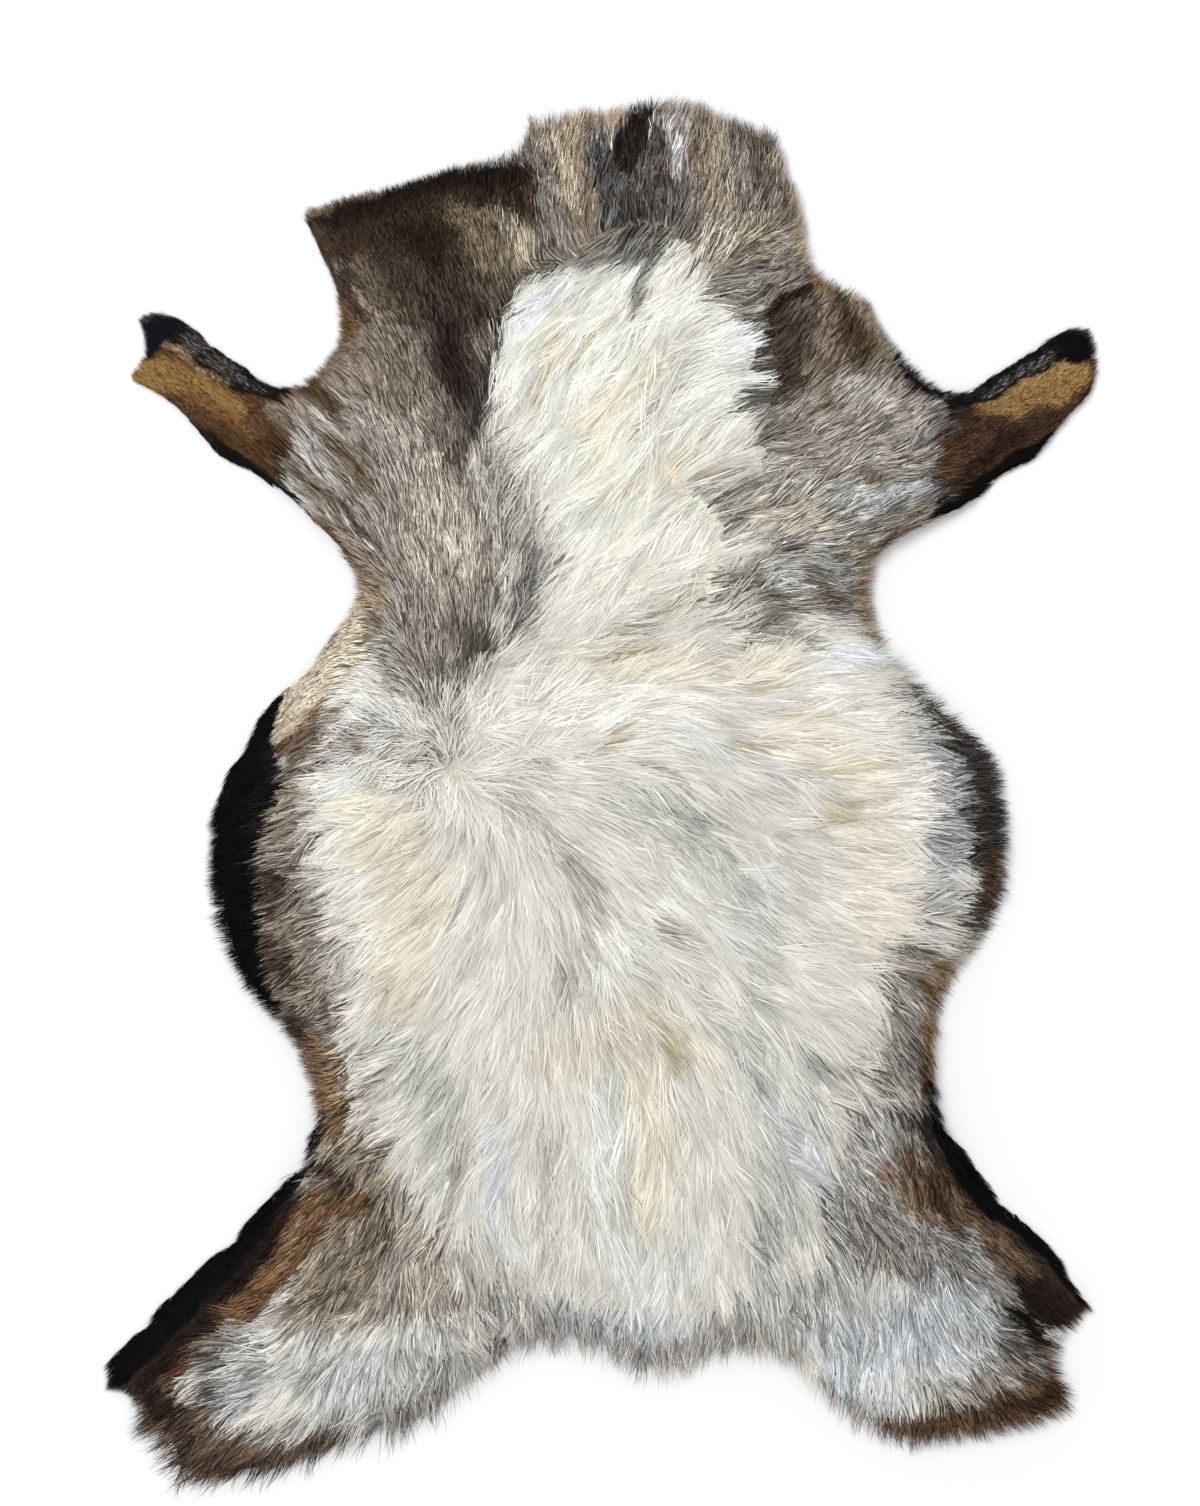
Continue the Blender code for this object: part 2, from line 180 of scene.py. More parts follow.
# length of the strands, how far they stand off the bed, how far they wave and how far they may reach past
# the leather's edge, in millimetres
coat = (
    # across, down, reach, length, lift, wave, past
    # neck
    (560, 180, 50, 17, 4.5, 2.0, 12.0), (660, 170, 50, 20, 4.5, 2.2, 11.0),
    (760, 190, 50, 17, 4.5, 2.0, 12.0),
    # cheek
    (340, 230, 45, 9, 2.5, 0.2, 6.0), (430, 215, 50, 9, 2.5, 0.2, 6.0), (400, 300, 45, 13, 3.0, 0.4, 6.0),
    (490, 260, 36, 13, 3.0, 0.4, 6.0),
    # ginger rim
    (335, 345, 24, 9, 2.5, 0.3, 7.0),
    # behind the cheek
    (460, 350, 36, 18, 3.0, 0.8, 5.0),
    # blaze
    (570, 310, 50, 40, 6.0, 2.2, 10.0), (660, 330, 50, 42, 6.5, 2.2, 10.0),
    (600, 430, 60, 46, 7.0, 2.4, 10.0), (630, 540, 60, 46, 6.5, 2.2, 10.0),
    # blaze, right
    (740, 380, 30, 30, 5.0, 1.6, 10.0),
    # right neck
    (830, 320, 40, 14, 3.0, 0.4, 7.0), (880, 340, 24, 9, 2.5, 0.3, 7.0),
    # right shoulder
    (830, 430, 50, 22, 4.0, 0.8, 7.0), (880, 470, 40, 24, 4.0, 0.8, 7.0), (770, 530, 40, 26, 4.0, 1.0, 7.0),
    # right waist
    (800, 600, 34, 24, 3.5, 1.2, 8.0), (870, 600, 16, 10, 2.5, 0.4, 8.0),
    # right foreleg
    (1000, 420, 45, 8, 1.8, 0.1, 7.0), (1070, 350, 40, 7, 1.6, 0.1, 7.0),
    # left shoulder
    (380, 420, 40, 18, 3.5, 1.0, 6.0), (430, 500, 45, 19, 3.5, 1.2, 6.0), (330, 460, 34, 26, 4.0, 1.2, 6.0),
    (360, 540, 26, 20, 3.5, 1.0, 6.0), (480, 600, 40, 20, 3.5, 1.4, 6.0), (400, 630, 34, 18, 3.5, 1.2, 6.0),
    # left foreleg
    (240, 430, 40, 7, 1.8, 0.1, 5.0), (160, 350, 40, 6, 1.6, 0.1, 5.0),
    # left waist
    (350, 610, 22, 8, 2.5, 0.2, 6.0), (305, 700, 26, 8, 2.5, 0.2, 6.0),
    # belly band
    (240, 770, 26, 9, 1.8, 0.1, 12.0), (222, 860, 28, 10, 1.8, 0.1, 12.0),
    (250, 970, 26, 11, 2.0, 0.1, 12.0),
    # whorl
    (435, 740, 34, 24, 7.0, 2.5, 6.0), (360, 730, 28, 26, 6.0, 1.5, 6.0),
    # saddle
    (560, 720, 60, 38, 7.5, 2.6, 10.0), (680, 700, 60, 42, 6.5, 2.0, 10.0),
    (620, 830, 60, 42, 7.5, 2.6, 10.0),
    # right flank
    (800, 760, 70, 42, 5.5, 1.4, 9.0), (880, 850, 60, 38, 5.0, 1.2, 9.0), (950, 780, 30, 24, 4.0, 1.0, 9.0),
    (990, 850, 22, 16, 3.5, 0.6, 9.0),
    # left flank
    (340, 850, 50, 36, 5.5, 1.6, 8.0), (420, 950, 60, 42, 6.5, 2.0, 8.0), (285, 900, 26, 18, 4.0, 0.8, 8.0),
    (320, 1000, 28, 22, 4.0, 1.0, 8.0),
    # ginger waist
    (315, 1080, 26, 13, 3.5, 0.6, 8.0),
    # back
    (560, 1000, 80, 48, 7.0, 2.4, 10.0), (700, 1000, 80, 48, 7.0, 2.2, 10.0),
    (820, 1000, 60, 40, 5.5, 1.6, 10.0),
    # right hip
    (890, 1050, 34, 22, 4.0, 1.0, 9.0), (938, 1050, 16, 10, 2.5, 0.4, 9.0),
    # left hip
    (420, 1110, 50, 32, 5.0, 2.0, 8.0),
    # rump
    (560, 1200, 70, 42, 6.0, 2.4, 20.0), (700, 1200, 70, 44, 6.0, 2.2, 15.0),
    (800, 1220, 50, 38, 5.5, 1.8, 13.0),
    # tail
    (640, 1340, 50, 32, 4.5, 1.8, 22.0),
    # left thigh
    (360, 1230, 40, 24, 4.5, 1.4, 6.0), (270, 1250, 30, 13, 3.0, 0.4, 6.0),
    (430, 1290, 40, 32, 5.0, 2.2, 6.0),
    # left hind leg
    (190, 1290, 24, 6, 1.2, 0.0, 7.0), (240, 1230, 22, 6, 1.2, 0.0, 7.0), (130, 1365, 26, 6, 1.4, 0.0, 7.0),
    # left haunch
    (300, 1370, 50, 34, 5.5, 2.0, 24.0), (420, 1390, 45, 36, 5.0, 2.0, 28.0),
    # left haunch, hem
    (220, 1450, 45, 30, 4.5, 1.8, 25.0),
    # right thigh
    (900, 1170, 34, 18, 3.5, 1.4, 7.0), (960, 1230, 26, 18, 3.5, 1.6, 7.0),
    (1020, 1285, 22, 14, 3.0, 0.8, 7.0),
    # right hind leg
    (985, 1180, 16, 7, 1.4, 0.0, 8.0), (1050, 1265, 18, 7, 1.4, 0.0, 8.0),
    # right haunch
    (860, 1330, 50, 34, 5.0, 2.0, 15.0), (950, 1320, 34, 28, 5.0, 2.2, 12.0),
    # right haunch, hem
    (970, 1410, 40, 24, 4.5, 1.8, 14.0), (1050, 1390, 24, 20, 4.0, 1.4, 14.0),
)

# the markings, and a few strokes of painted shade, laid on one over another like strokes of a brush:
# softness is in pixels, and spread is how much single strands differ from the marking
markingsAndPaintedShade = (
    # colour, softness, strength, spread, then across, down and half width at each point
    # light wool of the back, with its flecks and painted shade in the whorl
    ("#dfd8c6", 54, 0.85, 0.08, 345, 800, 14, 390, 840, 36, 405, 910, 42, 395, 1000, 30),
    ("#e8e5db", 44, 0.8, 0.1, 325, 850, 16, 350, 890, 26, 362, 950, 20),
    ("#e8e2d1", 46, 0.75, 0.08, 560, 656, 10, 660, 664, 24, 780, 668, 18),
    ("#eceae2", 40, 0.8, 0.1, 500, 700, 16, 560, 700, 26, 640, 710, 24, 700, 705, 22),
    ("#e7e1d2", 54, 0.75, 0.08, 800, 735, 26, 870, 780, 34, 880, 860, 36, 880, 930, 30),
    ("#edeae2", 47, 0.8, 0.1, 830, 690, 18, 910, 760, 18, 925, 830, 20),
    ("#e3ddcb", 40, 0.8, 0.1, 640, 1080, 18, 652, 1150, 26, 650, 1220, 20),
    ("#e5e5e0", 47, 0.7, 0.1, 610, 1240, 26, 650, 1290, 34, 690, 1260, 20),
    ("#ddd7c6", 44, 0.7, 0.1, 560, 1060, 30, 640, 1030, 34, 700, 1060, 26),
    ("#e2e1da", 44, 0.7, 0.1, 700, 880, 24, 650, 940, 30, 600, 980, 30),
    ("#c6c5be", 46, 0.75, 0.16, 620, 800, 16, 700, 830, 30, 750, 900, 24, 770, 950, 14),
    ("#bfbdb3", 40, 0.75, 0.18, 520, 810, 14, 575, 860, 22, 600, 920, 24, 570, 990, 18),
    ("#c2c1ba", 44, 0.75, 0.18, 380, 1040, 18, 440, 1100, 30, 450, 1190, 26),
    ("#c3c3bd", 44, 0.7, 0.18, 740, 1030, 18, 775, 1120, 24, 790, 1230, 26),
    ("#b3b0a7", 47, 0.75, 0.22, 400, 1210, 22, 450, 1265, 24, 510, 1290, 20),
    ("#bcbab3", 36, 0.6, 0.2, 562, 1140, 8, 548, 1200, 14, 545, 1260, 10),
    ("#aeaba0", 39, 0.65, 0.26, 430, 684, 14, 436, 716, 8),
    # painted shade: the whorl's parting, its centre and the crease below it are darkened
    ("#a39c8a", 21, 0.7, 0.26, 430, 736, 6, 438, 756, 10),
    ("#97917f", 13, 0.8, 0.22, 446, 770, 4, 462, 780, 3),
    ("#a39e8f", 20, 0.65, 0.22, 482, 780, 4, 512, 776, 5, 552, 764, 4),
    ("#b7ac90", 17, 0.85, 0.12, 610, 746, 6, 632, 728, 7),
    ("#bdb092", 23, 0.85, 0.12, 826, 816, 8, 846, 806, 12),
    ("#d9cdb2", 29, 0.6, 0.1, 850, 764, 8, 878, 768, 8),
    ("#b9ae92", 18, 0.85, 0.12, 750, 752, 7, 772, 746, 8),
    ("#b7ad8f", 16, 0.8, 0.12, 762, 692, 5, 786, 686, 5),
    ("#c1b79f", 18, 0.8, 0.12, 806, 716, 6, 836, 712, 5),
    ("#a9a083", 9, 0.8, 0.12, 618, 655, 4, 660, 650, 4),
    ("#b6a88a", 18, 0.8, 0.14, 668, 1038, 6, 673, 1090, 6),
    ("#b5aa93", 16, 0.75, 0.12, 782, 836, 6, 800, 846, 5),
    ("#b3a890", 16, 0.7, 0.12, 906, 902, 5, 924, 908, 5),
    ("#a6a296", 9, 0.8, 0.18, 648, 770, 4, 672, 778, 5, 700, 802, 3),
    ("#a8a497", 14, 0.8, 0.18, 666, 918, 5, 682, 948, 6),
    ("#a5a196", 23, 0.65, 0.2, 572, 856, 5, 592, 902, 7),
    ("#b0ada3", 13, 0.7, 0.16, 704, 984, 5, 713, 1012, 5),
    ("#9c988f", 14, 0.85, 0.2, 462, 1128, 5, 455, 1178, 6),
    ("#aaa79d", 13, 0.75, 0.16, 740, 1018, 4, 760, 1052, 5),
    ("#a49d88", 13, 0.8, 0.14, 840, 1080, 5, 866, 1052, 5, 892, 1018, 3),
    ("#eceae1", 21, 0.8, 0.08, 512, 726, 10, 545, 716, 8),
    ("#eceae0", 23, 0.8, 0.08, 446, 800, 5, 462, 860, 9, 455, 920, 8),
    ("#e7eaec", 31, 0.85, 0.08, 838, 654, 12, 884, 652, 14),
    ("#e0e2e4", 39, 0.65, 0.08, 690, 735, 12, 722, 752, 12),
    ("#dfe1e4", 39, 0.65, 0.08, 772, 880, 12, 742, 945, 12),
    ("#d3d7de", 29, 0.75, 0.1, 492, 1135, 10, 500, 1195, 12),
    ("#d3d7dc", 39, 0.65, 0.12, 776, 1105, 8, 815, 1165, 12, 828, 1200, 8),
    ("#e6e8ea", 29, 0.75, 0.08, 486, 1195, 8, 512, 1245, 10),
    # ground tones of the rest
    ("#7d7368", 44, 1.0, 0.36, 345, 260, 60, 410, 330, 84, 385, 450, 84, 425, 580, 76, 430, 625, 54),
    ("#8a837a", 44, 1.0, 0.36, 820, 300, 62, 832, 380, 76, 880, 440, 76, 900, 480, 60, 850, 520, 50),
    ("#35271b", 26, 1.0, 0.4, 150, 345, 50, 200, 385, 50, 250, 425, 50, 270, 440, 44),
    ("#35281d", 26, 1.0, 0.4, 1075, 355, 52, 1030, 400, 50, 985, 430, 48, 960, 470, 40),
    ("#33261d", 26, 1.0, 0.4, 120, 1370, 40, 190, 1310, 44, 250, 1240, 50, 300, 1180, 36, 312, 1130, 18),
    ("#33271f", 26, 1.0, 0.4, 1080, 1290, 44, 1030, 1270, 50, 970, 1190, 44, 938, 1120, 26),
    ("#6f645a", 39, 1.0, 0.4, 262, 790, 30, 252, 860, 46, 270, 930, 48, 290, 990, 42, 300, 1040, 22),
    ("#7d634a", 23, 1.0, 0.38, 304, 1060, 24, 314, 1100, 30, 320, 1140, 26),
    ("#a29b8f", 44, 1.0, 0.34, 330, 1180, 34, 360, 1230, 56, 400, 1270, 50, 300, 1320, 26),
    ("#b6b4ad", 40, 0.85, 0.26, 430, 1320, 24, 520, 1312, 22, 600, 1330, 14),
    ("#b6b5b0", 40, 0.85, 0.26, 700, 1335, 14, 780, 1320, 26, 840, 1285, 26),
    ("#8d8983", 40, 1.0, 0.36, 876, 1130, 26, 884, 1190, 44, 925, 1240, 48, 965, 1290, 44, 1005, 1335, 34),
    ("#57483c", 31, 1.0, 0.44, 155, 1410, 30, 185, 1455, 46, 250, 1478, 36, 330, 1474, 28, 395, 1456, 18,
     455, 1424, 10),
    ("#574637", 31, 1.0, 0.44, 888, 1450, 18, 940, 1442, 24, 990, 1428, 28, 1036, 1410, 30, 1070, 1390, 28,
     1058, 1356, 16),
    ("#8f8980", 39, 1.0, 0.38, 930, 965, 24, 925, 1020, 28, 915, 1080, 28),
    # neck
    ("#8b8177", 26, 1.0, 0.34, 548, 178, 62, 640, 165, 74, 752, 186, 66),
    ("#918779", 31, 0.95, 0.34, 540, 258, 20, 620, 250, 16, 700, 246, 14, 768, 256, 22),
    ("#8f8475", 29, 1.0, 0.34, 512, 215, 18, 520, 255, 24, 505, 285, 14),
    ("#7d736a", 18, 0.85, 0.34, 532, 128, 10, 540, 190, 14, 552, 240, 10),
    ("#aa9b86", 20, 0.95, 0.3, 584, 108, 11, 566, 150, 13, 570, 195, 12, 584, 222, 7),
    ("#beb19c", 9, 0.75, 0.24, 558, 124, 4, 562, 160, 5, 573, 200, 4),
    ("#7f6c5a", 14, 0.7, 0.32, 592, 118, 5, 584, 160, 5, 588, 224, 7),
    ("#a5917a", 13, 0.95, 0.26, 592, 104, 6, 618, 112, 7),
    ("#5b5754", 29, 1.0, 0.5, 640, 150, 30, 628, 190, 34, 632, 225, 28, 630, 242, 14),
    ("#77736e", 29, 0.8, 0.46, 676, 190, 14, 682, 222, 16, 650, 240, 10),
    ("#241f1d", 20, 1.0, 0.5, 654, 104, 10, 642, 120, 17, 632, 145, 16, 622, 165, 10),
    ("#37332f", 18, 0.8, 0.5, 612, 160, 7, 606, 185, 6, 628, 205, 9, 632, 238, 7),
    ("#46413c", 21, 0.7, 0.5, 664, 140, 7, 656, 165, 8, 668, 190, 8),
    ("#b3b3b4", 21, 0.34, 0.3, 604, 190, 10, 618, 225, 12, 660, 215, 14),
    ("#b4b7bb", 13, 0.85, 0.26, 598, 134, 5, 596, 158, 4, 600, 176, 2),
    ("#a5a8ac", 7, 0.75, 0.26, 613, 124, 2, 616, 146, 2),
    ("#c2c3c5", 14, 0.85, 0.26, 672, 114, 4, 676, 142, 7, 682, 166, 5, 676, 184, 2),
    ("#cbcac8", 7, 0.8, 0.2, 662, 102, 1, 656, 120, 2, 654, 138, 1),
    ("#c6c4c1", 7, 0.75, 0.2, 684, 106, 2, 690, 128, 2, 684, 160, 2),
    ("#988b7b", 29, 1.0, 0.34, 716, 108, 10, 716, 160, 18, 716, 205, 18),
    ("#6f5a48", 9, 0.75, 0.3, 704, 112, 3, 700, 136, 3, 694, 160, 3),
    ("#645a51", 26, 0.9, 0.4, 746, 126, 9, 760, 148, 15, 762, 175, 15, 752, 196, 10),
    ("#746b63", 23, 0.8, 0.36, 742, 192, 12, 760, 205, 12),
    ("#aea390", 29, 0.85, 0.3, 716, 200, 9, 735, 222, 12, 768, 226, 13, 740, 240, 8),
    ("#a6957a", 18, 0.9, 0.26, 782, 150, 3, 793, 185, 7, 801, 215, 9, 805, 258, 7),
    ("#8e8579", 21, 0.8, 0.34, 772, 262, 12, 796, 266, 8),
    # cheek and the neck behind it
    ("#34281e", 31, 1.0, 0.56, 345, 232, 34, 420, 225, 52, 500, 205, 46),
    ("#42372d", 39, 1.0, 0.56, 362, 292, 32, 420, 290, 40, 470, 290, 44),
    ("#1c140e", 30, 0.85, 0.54, 316, 224, 9, 350, 212, 13, 400, 194, 15, 450, 178, 15, 512, 170, 16),
    ("#6b5946", 8, 0.75, 0.34, 302, 210, 5, 345, 198, 3, 400, 180, 3, 446, 166, 3, 515, 152, 4),
    ("#6f5d4b", 16, 0.8, 0.36, 310, 212, 8, 330, 210, 5),
    ("#716553", 36, 0.85, 0.4, 450, 212, 8, 480, 225, 18, 495, 258, 22),
    ("#a89d8b", 34, 0.8, 0.36, 496, 205, 4, 518, 235, 13, 536, 256, 12),
    ("#a89b84", 18, 0.6, 0.26, 524, 235, 5, 532, 252, 5),
    ("#271b12", 36, 0.85, 0.5, 405, 232, 8, 428, 246, 18, 440, 262, 14),
    ("#43352a", 16, 0.9, 0.4, 322, 235, 8, 328, 262, 7, 336, 292, 8),
    ("#6b5f52", 34, 0.75, 0.4, 365, 262, 10, 372, 292, 14, 388, 318, 12),
    ("#a09180", 13, 0.6, 0.3, 352, 290, 5, 372, 312, 7, 382, 326, 4),
    ("#6d5135", 23, 0.9, 0.4, 336, 305, 8, 346, 328, 14, 336, 350, 11, 316, 370, 9, 302, 384, 6),
    ("#7c7165", 34, 0.95, 0.36, 345, 375, 20, 378, 350, 26, 395, 400, 28),
    ("#3c342d", 39, 0.95, 0.46, 432, 292, 18, 448, 330, 26, 458, 375, 24, 468, 410, 16),
    ("#5f554b", 26, 0.8, 0.4, 480, 290, 16, 500, 300, 10),
    # left shoulder
    ("#8d867c", 44, 1.0, 0.36, 330, 420, 34, 370, 480, 58, 420, 560, 62, 440, 630, 44),
    ("#a09c95", 47, 0.95, 0.32, 490, 440, 16, 512, 500, 24, 528, 570, 24, 528, 620, 18),
    ("#b4ad9f", 44, 0.9, 0.3, 440, 470, 20, 440, 520, 32, 470, 560, 22),
    ("#a8a095", 31, 0.8, 0.32, 372, 410, 10, 400, 440, 18, 405, 480, 14),
    ("#d2d0cb", 9, 0.6, 0.2, 360, 415, 3, 378, 425, 4),
    ("#d2cfc8", 9, 0.55, 0.2, 412, 415, 4, 418, 445, 5),
    ("#5f5850", 34, 0.85, 0.38, 466, 405, 14, 468, 440, 14, 448, 468, 10),
    ("#80756a", 26, 1.0, 0.44, 292, 412, 14, 300, 460, 16, 335, 520, 18, 372, 562, 18),
    ("#b3b0ab", 26, 0.75, 0.34, 292, 428, 7, 300, 446, 12, 322, 472, 10, 345, 490, 5),
    ("#c3c2c0", 9, 0.5, 0.26, 296, 428, 4, 316, 448, 4),
    ("#c4c0b9", 5, 0.7, 0.24, 300, 408, 2, 330, 430, 2, 352, 452, 2),
    ("#bdb9b2", 5, 0.7, 0.24, 300, 498, 3, 340, 520, 3, 375, 552, 2),
    ("#6b5a49", 26, 0.8, 0.38, 322, 440, 5, 348, 458, 12, 370, 482, 9),
    ("#544a41", 8, 0.75, 0.36, 310, 486, 3, 345, 508, 4, 372, 540, 4),
    ("#68635a", 29, 0.95, 0.38, 456, 626, 12, 478, 636, 20, 494, 648, 12),
    ("#77736a", 26, 0.85, 0.36, 424, 660, 10, 432, 690, 9),
    ("#8d8a82", 31, 0.8, 0.36, 450, 664, 12, 478, 672, 10),
    ("#9a968d", 34, 0.9, 0.36, 392, 600, 14, 380, 645, 20, 392, 678, 14, 420, 690, 12),
    ("#7f7d77", 23, 0.85, 0.34, 505, 600, 9, 528, 588, 11, 540, 560, 6),
    ("#45413d", 18, 1.0, 0.42, 500, 332, 4, 488, 362, 8, 478, 400, 10, 468, 425, 6),
    # right neck, shoulder and waist
    ("#786b5e", 34, 1.0, 0.36, 830, 305, 30, 836, 350, 40, 850, 385, 32),
    ("#a18c71", 16, 0.9, 0.26, 845, 285, 4, 866, 310, 6, 876, 332, 4),
    ("#74603f", 23, 0.7, 0.38, 852, 330, 6, 868, 342, 9, 888, 354, 6),
    ("#5c5147", 29, 1.0, 0.38, 790, 315, 20, 800, 370, 24, 790, 420, 14),
    ("#43372d", 21, 1.0, 0.4, 780, 318, 8, 786, 340, 16, 784, 372, 18, 778, 400, 12),
    ("#a09a92", 44, 1.0, 0.34, 800, 440, 40, 862, 420, 44, 905, 440, 40),
    ("#aaa69e", 44, 1.0, 0.32, 740, 500, 26, 800, 520, 40, 862, 505, 32),
    ("#b9b5ae", 29, 0.8, 0.26, 848, 378, 8, 872, 392, 14, 890, 400, 8),
    ("#837869", 23, 0.85, 0.36, 812, 372, 10, 828, 400, 12),
    ("#6b5c4c", 18, 0.9, 0.36, 892, 366, 6, 914, 392, 8),
    ("#6b6864", 23, 0.95, 0.38, 936, 414, 10, 950, 432, 12, 925, 440, 8),
    ("#c6bead", 44, 0.8, 0.24, 768, 508, 14, 800, 520, 20, 826, 524, 10),
    ("#7f776b", 9, 0.8, 0.3, 758, 448, 3, 790, 430, 6, 820, 408, 3),
    ("#756a5d", 18, 0.85, 0.34, 868, 470, 8, 884, 484, 9),
    ("#7a6a59", 13, 0.75, 0.34, 905, 462, 4, 930, 456, 5),
    ("#b9bab9", 34, 0.8, 0.28, 850, 500, 12, 892, 500, 14, 930, 488, 10, 944, 478, 4),
    ("#cbcccd", 14, 0.6, 0.2, 880, 496, 3, 920, 494, 5, 956, 490, 2),
    ("#b9b9b9", 21, 0.6, 0.28, 860, 458, 5, 905, 448, 4, 925, 462, 4),
    ("#7c7973", 18, 0.8, 0.34, 880, 508, 5, 905, 512, 8, 862, 530, 6),
    ("#8f8b84", 34, 1.0, 0.34, 745, 590, 24, 800, 578, 32, 845, 590, 26),
    ("#a9a8a5", 21, 0.8, 0.26, 820, 560, 8, 850, 572, 8),
    ("#6f685e", 18, 0.95, 0.36, 750, 606, 8, 800, 590, 9, 848, 598, 8),
    ("#716b62", 16, 0.9, 0.34, 740, 626, 5, 775, 618, 8, 806, 610, 4),
    ("#8a857a", 8, 0.8, 0.3, 700, 628, 2, 735, 616, 4, 770, 596, 3),
    ("#95826a", 18, 0.9, 0.34, 872, 552, 9, 871, 580, 9, 872, 612, 9, 884, 636, 7),
    ("#a0917e", 16, 0.9, 0.3, 884, 634, 5, 910, 656, 8, 938, 684, 8),
    ("#b4a285", 16, 0.7, 0.3, 850, 552, 5, 862, 560, 4),
    ("#5e4a36", 16, 0.95, 0.36, 966, 514, 6, 918, 534, 10, 885, 550, 7),
    # blaze
    ("#e9e8df", 21, 1.0, 0.09, 590, 300, 24, 655, 290, 26, 700, 300, 20),
    ("#e9e8df", 21, 1.0, 0.09, 545, 330, 32, 610, 340, 40, 735, 348, 32),
    ("#e9e8df", 23, 1.0, 0.09, 530, 390, 32, 610, 400, 50, 730, 392, 34),
    ("#e8e7dd", 26, 1.0, 0.09, 560, 450, 38, 640, 460, 50, 690, 450, 34),
    ("#e8e7dc", 29, 1.0, 0.09, 590, 520, 42, 650, 530, 46, 680, 520, 36),
    ("#e4e2d7", 31, 1.0, 0.1, 600, 595, 32, 660, 590, 36, 700, 570, 22),
    ("#e3e6e7", 21, 0.9, 0.1, 508, 350, 5, 530, 315, 10, 562, 285, 6),
    ("#ece5cf", 46, 0.75, 0.1, 690, 365, 8, 640, 385, 18, 590, 420, 18, 600, 460, 18),
    ("#e8e0c8", 26, 0.75, 0.1, 548, 330, 6, 556, 365, 9, 530, 405, 6),
    ("#e6dec6", 29, 0.7, 0.1, 620, 500, 10, 680, 480, 14, 700, 440, 6),
    ("#e4e8eb", 29, 0.8, 0.08, 736, 330, 8, 752, 352, 12, 742, 372, 8),
    ("#a3a098", 21, 0.75, 0.24, 590, 262, 4, 640, 256, 8, 690, 262, 5),
    ("#e6e6e0", 18, 0.8, 0.1, 600, 280, 5, 650, 268, 6, 700, 250, 7),
    ("#b3b3ae", 16, 0.7, 0.18, 575, 268, 4, 548, 300, 4),
    # painted shadow: a dark line down the top of the blaze
    ("#736c60", 8, 0.85, 0.24, 646, 262, 4, 640, 285, 6, 634, 312, 4, 612, 338, 2),
    ("#b7ab8b", 6, 0.75, 0.12, 598, 330, 2, 580, 358, 3, 565, 378, 2),
    ("#a79e80", 6, 0.8, 0.14, 560, 360, 2, 545, 385, 3, 528, 412, 2),
    ("#bdb496", 8, 0.7, 0.12, 540, 400, 3, 528, 425, 3),
    ("#a79f84", 4, 0.8, 0.1, 638, 432, 2, 618, 448, 2),
    ("#b5ac90", 8, 0.75, 0.12, 735, 462, 3, 700, 478, 4, 672, 500, 2),
    # painted shadow: under the tips of the blaze, where they lie over the back
    ("#a8a492", 16, 0.8, 0.18, 608, 630, 5, 660, 618, 6, 700, 604, 3),
    ("#47423d", 18, 0.95, 0.42, 772, 330, 4, 778, 365, 7, 762, 392, 8, 748, 412, 4),
    ("#615b53", 13, 0.8, 0.36, 740, 412, 3, 772, 398, 6, 790, 400, 5),
    ("#8a857d", 26, 0.95, 0.36, 690, 282, 5, 735, 280, 14, 780, 276, 12, 800, 272, 8),
    ("#6a6259", 13, 0.8, 0.34, 720, 306, 3, 748, 296, 6, 785, 288, 4),
    ("#2f2218", 9, 0.95, 0.34, 742, 318, 2, 768, 312, 6, 792, 300, 7, 812, 286, 4),
    ("#8d7452", 8, 0.9, 0.26, 808, 278, 4, 822, 286, 6, 838, 284, 4),
    # left foreleg
    ("#4c3622", 21, 1.0, 0.44, 150, 362, 26, 200, 392, 34, 250, 428, 34, 272, 446, 20),
    ("#86683d", 21, 0.95, 0.36, 132, 368, 9, 160, 374, 16, 195, 388, 16, 232, 404, 11),
    ("#705030", 23, 0.75, 0.4, 190, 398, 9, 225, 415, 10, 246, 426, 8),
    ("#75695b", 18, 0.9, 0.34, 272, 408, 9, 285, 424, 9),
    ("#131112", 6, 1.0, 0.6, 172, 326, 16, 205, 348, 19, 245, 374, 18, 285, 391, 11, 300, 392, 7),
    ("#a39d92", 9, 0.3, 0.34, 185, 340, 8, 215, 362, 9, 262, 388, 6),
    ("#a98f6a", 13, 0.55, 0.3, 160, 344, 3, 182, 352, 6, 205, 372, 4, 232, 384, 3),
    ("#b7a081", 6, 0.6, 0.26, 186, 318, 3, 200, 328, 4, 212, 342, 3),
    ("#0b0d14", 5, 1.0, 0.4, 148, 326, 9, 162, 324, 15, 150, 348, 9),
    ("#65492e", 8, 0.95, 0.34, 286, 398, 4, 305, 390, 6, 320, 382, 3),
    ("#120d0a", 8, 1.0, 0.4, 204, 440, 6, 228, 460, 12, 256, 480, 15, 282, 498, 14, 304, 516, 8),
    ("#241a12", 8, 0.9, 0.4, 185, 425, 3, 208, 442, 5),
    ("#5f4a39", 8, 0.95, 0.4, 300, 512, 4, 322, 530, 7, 342, 556, 7, 352, 575, 5),
    # right foreleg
    ("#473325", 23, 1.0, 0.44, 958, 452, 22, 1000, 432, 36, 1050, 395, 38, 1078, 365, 24),
    ("#5c4433", 16, 0.85, 0.36, 944, 474, 8, 965, 462, 8, 985, 444, 8),
    ("#937347", 23, 0.95, 0.36, 985, 408, 7, 1015, 404, 15, 1050, 388, 20, 1080, 372, 15),
    ("#a98c5f", 23, 0.55, 0.3, 1010, 398, 5, 1045, 380, 7, 1075, 362, 5),
    ("#121112", 6, 1.0, 0.6, 903, 358, 4, 922, 384, 9, 952, 397, 10, 985, 390, 12, 1020, 372, 14,
     1060, 348, 15),
    ("#a5a39d", 9, 0.3, 0.34, 985, 394, 5, 1020, 380, 7, 1052, 360, 8),
